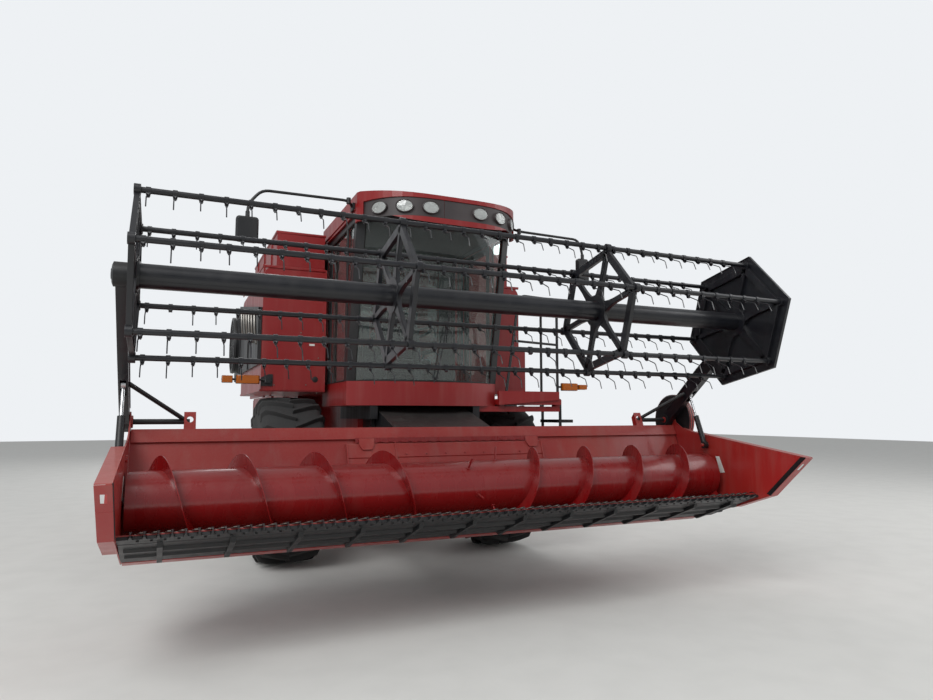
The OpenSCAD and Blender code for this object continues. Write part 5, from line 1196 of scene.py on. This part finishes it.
class HARVESTER_OT_outlook(bpy.types.Operator):
    """Makes the mirrors on their arms, the amber lamps, the rails, the ladder and the platform's tread"""
    bl_idname = "harvester.outlook"
    bl_label = "Mirrors, lamps and rails"

    def execute(self, context):
        s = context.scene.harvester_sizes
        arms, glass = Shape(), Shape()
        for side, head, z, half_w, half_h, bend, high in ((-1, 1.908, 3.313, 0.101, 0.121, 1.787, 3.703),
                                                          (1, 1.787, 3.245, 0.076, 0.151, 1.732, 3.614)):
            x, y = side * head, -2.200
            foot = Vector((side * 0.894, -2.100, 3.680))
            arms.tube(rounded([foot, (side * 0.960, y, high + 0.01), (side * bend, y, high),
                               (x, y, high - 0.15), (x, y, z)],
                              0.07), 0.014)
            arms.block(foot - Vector((0.013, 0.045, 0.04)), foot + Vector((0.013, 0.045, 0.04)))
            arms.rod(-0.03, 0.03, 0.022, (side * 0.960, -2.195, high + 0.01), "Z", 16)
            rims = ((0.86, -0.032), (1.0, -0.010), (1.0, 0.030), (0.94, 0.034), (0.94, 0.026))
            arms.loft([[(u, y + off, v) for u, v in pad(half_w * k, half_h * k, 0.03 * k, (x, z))]
                       for k, off in rims])
            arms.tube([(x, y, z + half_h * 0.7), (x, y, z + half_h + 0.05)], 0.020, sides=14)
            glass.slab(pad(half_w * 0.92, half_h * 0.92, 0.026, (x, z)), y + 0.024, y + 0.030, axis="Y")
        arms.tube([(1.668, -1.838, 1.930), (1.908, -1.838, 1.930)], 0.012)
        arms.tube([(-1.495, -1.030, 1.982), (-2.005, -1.030, 1.982)], 0.012)
        arms.slab([(-1.600, 1.917), (-1.475, 1.917), (-1.475, 2.047), (-1.520, 2.047), (-1.600, 2.010)],
                  -1.012, -0.999, axis="Y")
        arms.block((-1.560, -1.045, 1.950), (-1.500, -1.006, 2.015))
        arms.piece("mirror_arms", "black_enamel", "chassis", ("mirror_and_lamp_arms",), edge=0.002)
        glass.piece("mirror_glasses", "mirror_glass", "chassis")
        back, lens = Shape(), Shape()
        for x0, x1, y, z, half in ((-1.865, -1.618, -1.042, 1.982, 0.047),
                                   (-2.005, -1.893, -1.042, 1.982, 0.040),
                                   (1.690, 1.908, -1.850, 1.930, 0.045),
                                   (1.925, 2.035, -1.850, 1.930, 0.030)):
            wide, mid = (x1 - x0) / 2, (x0 + x1) / 2
            back.slab(pad(wide, half, 0.010, (mid, z)), y - 0.014, y, axis="Y")
            lens.loft([[(u, y - out, v) for u, v in pad(wide * k, half * k, 0.010 * k, (mid, z))]
                       for k, out in ((0.96, 0.012), (0.95, 0.040), (0.88, 0.050))])
        back.piece("amber_lamp_backs", "moulded_polypropylene", "chassis", slot="amber_lens")
        lens.piece("amber_lamp_lenses", "amber_acrylic", "chassis", ("amber_lamps",), edge=0.002)
        self.rails(s)
        return {"FINISHED"}

    def rails(self, s):
        """The platform's bent rails on bolted feet, the ladder's grated treads and the platform's bars."""
        rails = Shape()
        y = -1.838
        rails.tube(rounded([(0.965, y, 1.782), (1.142, y, 2.930), (1.195, y, 2.980), (1.695, y, 2.960),
                            (1.655, y, 2.880), (1.655, y, 1.782)], 0.04), 0.016)
        rails.tube([(1.072, y, 2.450), (1.655, y, 2.425)], 0.014)
        rails.tube(rounded([(1.655, -1.470, 1.782), (1.655, -1.470, 2.880), (1.655, y, 2.880)], 0.10, 6),
                   0.016)
        for x, foot in ((0.965, y + 0.008), (1.655, y), (1.655, -1.470)):
            rails.slab(pad(0.032, 0.032, 0.008, (x, foot + 0.006)), 1.7805, 1.787, axis="Z")
            bolts(rails, Matrix.Translation((x, foot + 0.006, 1.787)) @ UP, s.bolt * 0.4, 4, circle=0.026)
        for foot in (-1.820, -1.420):
            rails.block((1.682, foot, 0.620), (1.718, foot + 0.008, 1.778))
            rails.block((1.676, foot, 1.700), (1.682, foot + 0.030, 1.778))
        tread = Shape()
        for x0, x1, y0, y1 in ((1.680, 1.686, -1.812, -1.398), (1.872, 1.878, -1.812, -1.398),
                               (1.680, 1.878, -1.816, -1.810), (1.680, 1.878, -1.398, -1.392)):
            tread.block((x0, y0, 0.642), (x1, y1, 0.678))
        for i in range(7):
            x = 1.705 + i * 0.024
            tread.block((x, -1.812, 0.650), (x + 0.004, -1.396, 0.6775))
        for i in range(4):
            tread.block((1.684, -1.74 + i * 0.09, 0.655), (1.876, -1.736 + i * 0.09, 0.674))
        steps, rise = 4, 0.290
        rails.take(row(tread, steps, (0.0, 0.0, rise)))
        rails.piece("rails_and_ladder", "black_enamel", "chassis", ("ladder_and_rails",), edge=0.0015)
        bar = Shape()
        bar.slab(pad(0.36, 0.005, 0.004, (1.265, -1.850), 2), 1.780, 1.784, axis="Z")
        grip = Shape()
        grip.take(row(bar, 18, (0.0, 0.030, 0.0)))
        grip.piece("platform_tread", "red_enamel", "chassis")


def rim(side, front):
    """A wheel rim: its well with both flanges, the dished disc with eight pads, the boss and the bolts."""
    s = bpy.context.scene.harvester_sizes
    centre, name, body = wheel(side, front)
    wide, tall = (1.0, 1.0) if front else (0.576, 0.75)
    shape = Shape(Matrix.Translation(centre) @ outward(side))
    well = [(-0.277, 0.430), (-0.262, 0.436), (-0.256, 0.404), (-0.21, 0.403), (-0.16, 0.372), (0.16, 0.372),
            (0.21, 0.403), (0.256, 0.404), (0.262, 0.436), (0.277, 0.430), (0.270, 0.398), (0.21, 0.395),
            (0.165, 0.364), (-0.165, 0.364), (-0.21, 0.395), (-0.270, 0.398)]
    shape.turn([(x * wide, r * tall) for x, r in well], steps=64, closed=True)
    dish = [(0.030, 0.368), (0.045, 0.340), (0.095, 0.290), (0.100, 0.235), (0.080, 0.215), (0.062, 0.140),
            (0.050, 0.140), (0.068, 0.222), (0.088, 0.238), (0.083, 0.285), (0.034, 0.333), (0.018, 0.368)]
    shape.turn([(x * wide, r * tall) for x, r in dish], steps=64, closed=True)
    bore, boss = (0.0703, 0.135) if front else (0.0503, 0.098)
    shape.turn([(-0.045, bore), (-0.045, boss), (0.020, boss + 0.012), (0.045, boss - 0.010), (0.045, bore)],
               steps=40, closed=True)
    bolts(shape, Matrix.Translation((0.070 * wide, 0, 0)), s.bolt * 0.9, 10 if front else 6,
          circle=0.172 * tall)
    hand = Shape(Matrix.Translation((0, 0, 0.325 * tall)))
    hand.slab(pad(0.035, 0.012, 0.011, steps=3), 0.050 * wide, 0.058 * wide)
    shape.take(ring(hand, 8))
    shape.piece(f"rim_{name}_dish", "red_enamel", body, (f"rim_{name}",), edge=0.002, slot="rim_red")


class HARVESTER_OT_rims(bpy.types.Operator):
    """Makes the four rims with their dished discs and bolts, and the bolts on the drive hubs"""
    bl_idname = "harvester.rims"
    bl_label = "Rims"

    def execute(self, context):
        s = context.scene.harvester_sizes
        for side in (1, -1):
            rim(side, True)
            rim(side, False)
        hubs = Shape()
        for side in (1, -1):
            hubs.turn([(side * 1.349, 0.0), (side * 1.349, 0.062), (side * 1.362, 0.056),
                       (side * 1.366, 0.0)],
                      (0, *FRONT_WHEEL[1:]), steps=28)
            hubs.collar(side * 0.735, side * 0.765, 0.240, 0.262, (0, *FRONT_WHEEL[1:]), steps=40)
            for x, width, count, circle in ((1.362, 0.4, 6, 0.043), (0.765, 0.7, 12, 0.251)):
                place = Matrix.Translation((side * x, *FRONT_WHEEL[1:])) @ outward(side)
                bolts(hubs, place, s.bolt * width, count, circle=circle)
        hubs.piece("hub_fittings", "cast_enamel", "chassis", edge=0.001)
        return {"FINISHED"}


class HARVESTER_OT_body(bpy.types.Operator):
    """Makes what folds, ribs, lamps, screens and fittings the tank, engine, hood and side shields have"""
    bl_idname = "harvester.body"
    bl_label = "Body"

    def execute(self, context):
        self.tank(context.scene.harvester_sizes)
        self.screen_box()
        self.engine()
        self.rear()
        self.sides()
        return {"FINISHED"}

    def tank(self, s):
        """The rim and ribs of the extension, the folds on the tank, a reflector, a plug and bright screws."""
        folds = Shape()
        plan = [(-1.46, 1.14), (-1.46, -0.95), (-0.92, -0.95), (-0.92, -0.59), (0.92, -0.59), (0.92, -0.95),
                (1.46, -0.95), (1.46, 1.14)]
        folds.tube([(x, y, 3.665) for x, y in plan], 0.016, sides=10, closed=True)
        ribs = (-0.55, 0.10, 0.75)
        for side in (1, -1):
            for y in ribs:
                folds.block((side * 1.467 - 0.007, y - 0.02, 3.262), (side * 1.467 + 0.007, y + 0.02, 3.655))
            folds.slab([(-0.998, 3.230), (-1.012, 3.236), (-1.012, 3.258), (-0.998, 3.264)],
                       *sorted((side * 0.92, side * 1.598)))
            for z in (1.862, 3.245):
                folds.block((side * 1.604 - 0.006, -0.99, z), (side * 1.604 + 0.006, 1.14, z + 0.022))
        for y in ribs:
            folds.block((1.598, y - 0.015, 1.90), (1.612, y + 0.015, 3.24))
        folds.slab([(-0.93, 1.872), (-1.596, 1.872), (-1.596, 1.886), (-0.93, 1.886)], -1.008, -0.999,
                   axis="Y")
        folds.piece("tank_folds", "red_enamel", "chassis", edge=0.003)
        marks = Shape()
        marks.slab(pad(0.030, 0.011, 0.003, (-1.055, 2.389)), -1.003, -0.9995, axis="Y")
        marks.piece("tank_reflector", "reflective_sheet", "chassis", slot="machine_red")
        plug = Shape()
        plug.turn([(-1.004, 0.0), (-1.004, 0.026), (-1.000, 0.034), (-0.999, 0.0)], (-1.012, 0, 1.999),
                  axis="Y", steps=20)
        plug.piece("tank_plug", "seal_rubber", "chassis", slot="machine_red")
        screws = Shape()
        for x, z in ((-1.459, 1.930), (-1.113, 1.937), (-0.990, 1.848), (-0.980, 2.242), (-0.939, 2.456),
                     (-1.18, 2.52), (-1.56, 2.90), (-0.95, 2.90)):
            bolts(screws, Matrix.Translation((x, -1.001, z)) @ AHEAD, s.bolt * 0.35)
        screws.piece("tank_screws", "bare_steel", "chassis")

    def screen_box(self):
        """The black housing on the tank's right side with its pale curved slats, and the round air screen."""
        box = Shape()
        box.slab([(-0.970, 2.160), (1.145, 2.160), (1.145, 3.110), (-0.970, 2.790)], -1.628, -1.601)
        for y0, y1 in ((-0.970, -0.935), (0.070, 0.100), (1.110, 1.145)):
            high = 2.790 + (y0 + 0.970) * 0.151
            box.slab([(y0, 2.160), (y1, 2.160), (y1, high), (y0, high)], -1.642, -1.626)
        box.slab([(-0.970, 2.760), (1.145, 3.080), (1.145, 3.110), (-0.970, 2.790)], -1.644, -1.626)
        box.turn([(-1.700, 0.36), (-1.700, 0.405), (-1.668, 0.410), (-1.661, 0.405), (-1.661, 0.36)],
                 AIR_SCREEN, closed=True)
        mesh = Shape()
        mesh.tube([(-1.690, 0, 0.02), (-1.690, 0, 0.37)], 0.006, sides=6)
        box.take(ring(mesh, 24), Matrix.Translation(AIR_SCREEN))
        for radius in (0.06, 0.12, 0.18, 0.24, 0.30):
            box.collar(-1.694, -1.686, radius - 0.005, radius + 0.005, AIR_SCREEN, steps=36)
        box.piece("screen_housing", "black_enamel", "chassis", edge=0.002)
        slats, count = Shape(), 6
        for i in range(count):
            y, z = 0.95 - 0.30 * i, 3.02 - 0.045 * i
            slats.tube([(-1.640, y - 0.28 * t * t, z - 0.40 * t) for t in spread(0, 1, 8)], 0.013, sides=6)
        slats.piece("screen_slats", "bare_steel", "chassis")

    def engine(self):
        """What shows of the engine: covers, manifold, pulley, muffler with its pipe and air cleaner."""
        block = Shape()
        cylinders, spacing = 6, 0.16
        for i in range(cylinders):
            y = 1.60 + i * spacing
            block.slab(pad(0.10, 0.065, 0.02, (-0.10, y)), 3.058, 3.120, axis="Z")
            block.tube(rounded([(0.00, y, 3.05), (0.08, y, 3.11), (0.34, y, 3.11), (0.45, y, 2.95)], 0.05),
                       0.028, sides=10)
        block.slab(pad(0.40, 0.36, 0.03, (0.02, 2.70)), 1.485, 1.502, axis="Y")
        block.turn([(2.652, 0.0), (2.652, 0.17), (2.700, 0.17), (2.700, 0.14), (2.720, 0.05), (2.720, 0.0)],
                   (0.02, 0, 2.55), axis="Y", steps=32)
        block.piece("engine_covers", "cast_iron", "chassis", edge=0.003)
        pipes = Shape()
        pipes.turn([(1.72, 0.0), (1.72, 0.06), (1.74, 0.135), (2.36, 0.135), (2.38, 0.06), (2.38, 0.0)],
                   (0.62, 0, 3.00), axis="Y", steps=28)
        pipes.tube(rounded([(0.62, 2.05, 3.05), (0.62, 2.05, 3.50), (0.62, 2.13, 3.545)], 0.05), 0.0565,
                   sides=20)
        pipes.collar(3.40, 3.43, 0.056, 0.066, (0.62, 2.05, 0), "Z")
        pipes.piece("muffler", "bare_steel", "chassis", edge=0.002, slot="engine_grey")
        cleaner = Shape()
        middle = (0, 2.85, 2.62)
        cleaner.turn([(-0.95, 0.0), (-0.95, 0.15), (-0.93, 0.17), (-0.50, 0.17), (-0.48, 0.14), (-0.46, 0.0)],
                     middle, steps=32)
        for x in (-0.86, -0.60):
            cleaner.collar(x, x + 0.03, 0.170, 0.176, middle, steps=32)
        cleaner.tube(rounded([(-0.47, 2.85, 2.62), (-0.25, 2.85, 2.66), (-0.20, 2.60, 2.80)], 0.10, 6), 0.06,
                     sides=16)
        cleaner.block((-0.90, 2.74, 2.28), (-0.52, 2.96, 2.46))
        cleaner.piece("air_cleaner", "moulded_polypropylene", "chassis", edge=0.002)

    def rear(self):
        """The hood's folds, the deck's seams, two rear lamps, and the unloading tube's rings and lip."""
        hood = Shape()
        for z in (1.30, 1.75):
            for x in (-0.710, 0.699):
                hood.block((x, 3.35, z), (x + 0.011, 4.35, z + 0.03))
        for side in (1, -1):
            for y in (1.35, 1.95, 2.55, 3.15):
                hood.block((side * 1.304 - 0.005, y, 2.30), (side * 1.304 + 0.005, y + 0.03, 2.86))
            hood.tube([(side * 1.285, 1.16, 2.885), (side * 1.285, 3.29, 2.885)], 0.014, sides=10)
        hood.tube([(-1.285, 3.285, 2.885), (1.285, 3.285, 2.885)], 0.014, sides=10)
        hood.piece("hood_folds", "red_enamel", "chassis", edge=0.002)
        lamp, lens = Shape(), Shape()
        for side in (1, -1):
            middle = (side * 1.12, 2.42)
            lamp.slab(pad(0.12, 0.055, 0.015, middle), 3.300, 3.330, axis="Y")
            lens.loft([[(u, 3.328 + out, v) for u, v in pad(0.11 * k, 0.047 * k, 0.012 * k, middle)]
                       for k, out in ((1.0, 0.0), (0.99, 0.022), (0.90, 0.030))])
        lamp.piece("rear_lamp_backs", "moulded_polypropylene", "chassis")
        lens.piece("rear_lamp_lenses", "red_acrylic", "chassis")
        tube = Shape()
        for y in (0.80, 1.90, 2.00, 3.10, 4.20):
            tube.collar(y, y + 0.02, 0.138, 0.156, (TUBE_X, 0, TUBE_Z), "Y", 36)
        tube.piece("unload_rings", "red_enamel", "unload_tube", edge=0.002)
        lip = Shape()
        lip.turn([(2.780, 0.134), (2.770, 0.143), (2.705, 0.150), (2.700, 0.146), (2.735, 0.132),
                  (2.780, 0.130)],
                 (TUBE_X, 4.39, 0), axis="Z", steps=36, closed=True)
        lip.piece("spout_lip", "seal_rubber", "unload_tube", slot="tyre_rubber")

    def sides(self):
        """Pressed ribs and latches on the side shields, and the fuel tank's straps and filler."""
        for side, text in ((1, "left"), (-1, "right")):
            # The right shield is the left one turned half round the middle of its length
            shield = Shape(outward(side) @ Matrix.Translation((0, 0 if side > 0 else -2.13, 0)))
            for z in (1.25, 1.45, 1.65):
                shield.slab([(1.329, z), (1.341, z + 0.012), (1.341, z + 0.048), (1.329, z + 0.060)], 0.20,
                            1.93, axis="Y")
            for y in (0.132, 1.980):
                shield.slab([(1.329, 1.17), (1.336, 1.17), (1.336, 1.82), (1.329, 1.82)], y, y + 0.018,
                            axis="Y")
            for y in (0.50, 1.60):
                shield.slab(pad(0.045, 0.028, 0.012, (y, 1.19)), 1.329, 1.338)
                shield.tube([(1.342, y - 0.025, 1.19), (1.342, y + 0.025, 1.19)], 0.008, sides=8)
            name = f"side_shield_{text}"
            shield.piece(name + "_ribs", "red_enamel", name, edge=0.003)
        tank = Shape()
        for y in (1.40, 1.90):
            tank.slab([(0.615, 1.305), (1.185, 1.305), (1.185, 1.805), (0.615, 1.805)], y, y + 0.04, axis="Y")
        tank.turn([(1.179, 0.0), (1.179, 0.05), (1.215, 0.05), (1.230, 0.045), (1.230, 0.0)], (0, 1.60, 1.72),
                  steps=24)
        tank.piece("fuel_straps", "black_enamel", "chassis", edge=0.002)


# The camera stands where the photo was taken: its lens and sensor in millimetres, its eye, tilt and turn
LENS, SENSOR = 25.45, 36.0
EYE, TILT, PAN = (-2.507, -8.472, 1.600), 95.642, -24.255
# The lights' aim, and each one's name, place, power in watts and width
AIM = Vector((0, -0.5, 1.5))
LIGHTS = (("key", (-9, -11, 12), 1500, 9), ("fill", (12, -7, 7), 450, 9), ("back", (4, 14, 10), 700, 10))


class HARVESTER_OT_stage(bpy.types.Operator):
    """Sets the pale floor, the soft lights and the camera"""
    bl_idname = "harvester.stage"
    bl_label = "Stage"

    def execute(self, context):
        # Matt paper floor: pale and even
        moulded("pale_floor", linear("#d9d8d4"), "#d3d2ce", 0.9, 60.0, 0.0)
        floor = Shape()
        floor.slab([(-40, -40), (40, -40), (40, 40), (-40, 40)], -0.02, -0.001, axis="Z")
        mesh = floor.plain("floor")
        mesh.materials.append(bpy.data.materials["pale_floor"])
        ground = bpy.data.objects.new("floor", mesh)
        context.collection.objects.link(ground)
        world = bpy.data.worlds.new("studio")
        world.use_nodes = True
        context.scene.world = world
        tree = world.node_tree
        tree.nodes.clear()
        ray = add(tree, "ShaderNodeLightPath").outputs
        seen = add(tree, "ShaderNodeMath", {0: ray["Is Camera Ray"], 1: ray["Is Transmission Ray"]},
                   operation="MAXIMUM")
        strength = add(tree, "ShaderNodeMapRange",
                       {"Value": seen.outputs[0], "To Min": 0.55, "To Max": 1.0}).outputs[0]
        sky = add(tree, "ShaderNodeBackground", {"Color": linear("#eef1f4"), "Strength": strength})
        add(tree, "ShaderNodeOutputWorld", {"Surface": sky.outputs[0]})
        for name, place, power, wide in LIGHTS:
            lamp = bpy.data.lights.new(name, "AREA")
            lamp.energy = power
            lamp.size = wide
            lamp_object = bpy.data.objects.new(name, lamp)
            lamp_object.location = place
            lamp_object.rotation_euler = (Vector(place) - AIM).to_track_quat("Z", "Y").to_euler()
            context.collection.objects.link(lamp_object)
        view = bpy.data.cameras.new("camera")
        view.lens = LENS
        view.sensor_width = SENSOR
        camera = bpy.data.objects.new("camera", view)
        camera.location = EYE
        camera.rotation_euler = (math.radians(TILT), 0, math.radians(PAN))
        context.collection.objects.link(camera)
        context.scene.camera = camera
        context.scene.view_settings.view_transform = "Standard"
        return {"FINISHED"}


class HARVESTER_PT_panel(bpy.types.Panel):
    """Lists the sizes, the colours and the steps that make the harvester"""
    bl_label = "Combine Harvester"
    bl_idname = "HARVESTER_PT_panel"
    bl_space_type = "VIEW_3D"
    bl_region_type = "UI"
    bl_category = "Harvester"

    def draw(self, context):
        for group in (context.scene.harvester_sizes, context.scene.harvester_colours):
            for key in group.bl_rna.properties.keys():
                if key not in {"rna_type", "name"}:
                    self.layout.prop(group, key)
        for step in STEPS:
            self.layout.operator(step.bl_idname)


STEPS = (HARVESTER_OT_stage, HARVESTER_OT_finishes, HARVESTER_OT_tyres, HARVESTER_OT_reel, HARVESTER_OT_auger,
         HARVESTER_OT_header, HARVESTER_OT_arms, HARVESTER_OT_cab, HARVESTER_OT_outlook, HARVESTER_OT_rims,
         HARVESTER_OT_body)


def register():
    """Registers the steps and the panel."""
    for item in STEPS + (HARVESTER_PT_panel,):
        bpy.utils.register_class(item)


def unregister():
    """Takes back what register and the file's top registered."""
    for item in reversed((HarvesterSizes, HarvesterColours) + STEPS + (HARVESTER_PT_panel,)):
        bpy.utils.unregister_class(item)
    del bpy.types.Scene.harvester_sizes, bpy.types.Scene.harvester_colours


def main():
    """Makes every piece."""
    register()
    for step in STEPS:
        group, name = step.bl_idname.split(".")
        getattr(getattr(bpy.ops, group), name)()


if __name__ == "__main__":
    main()
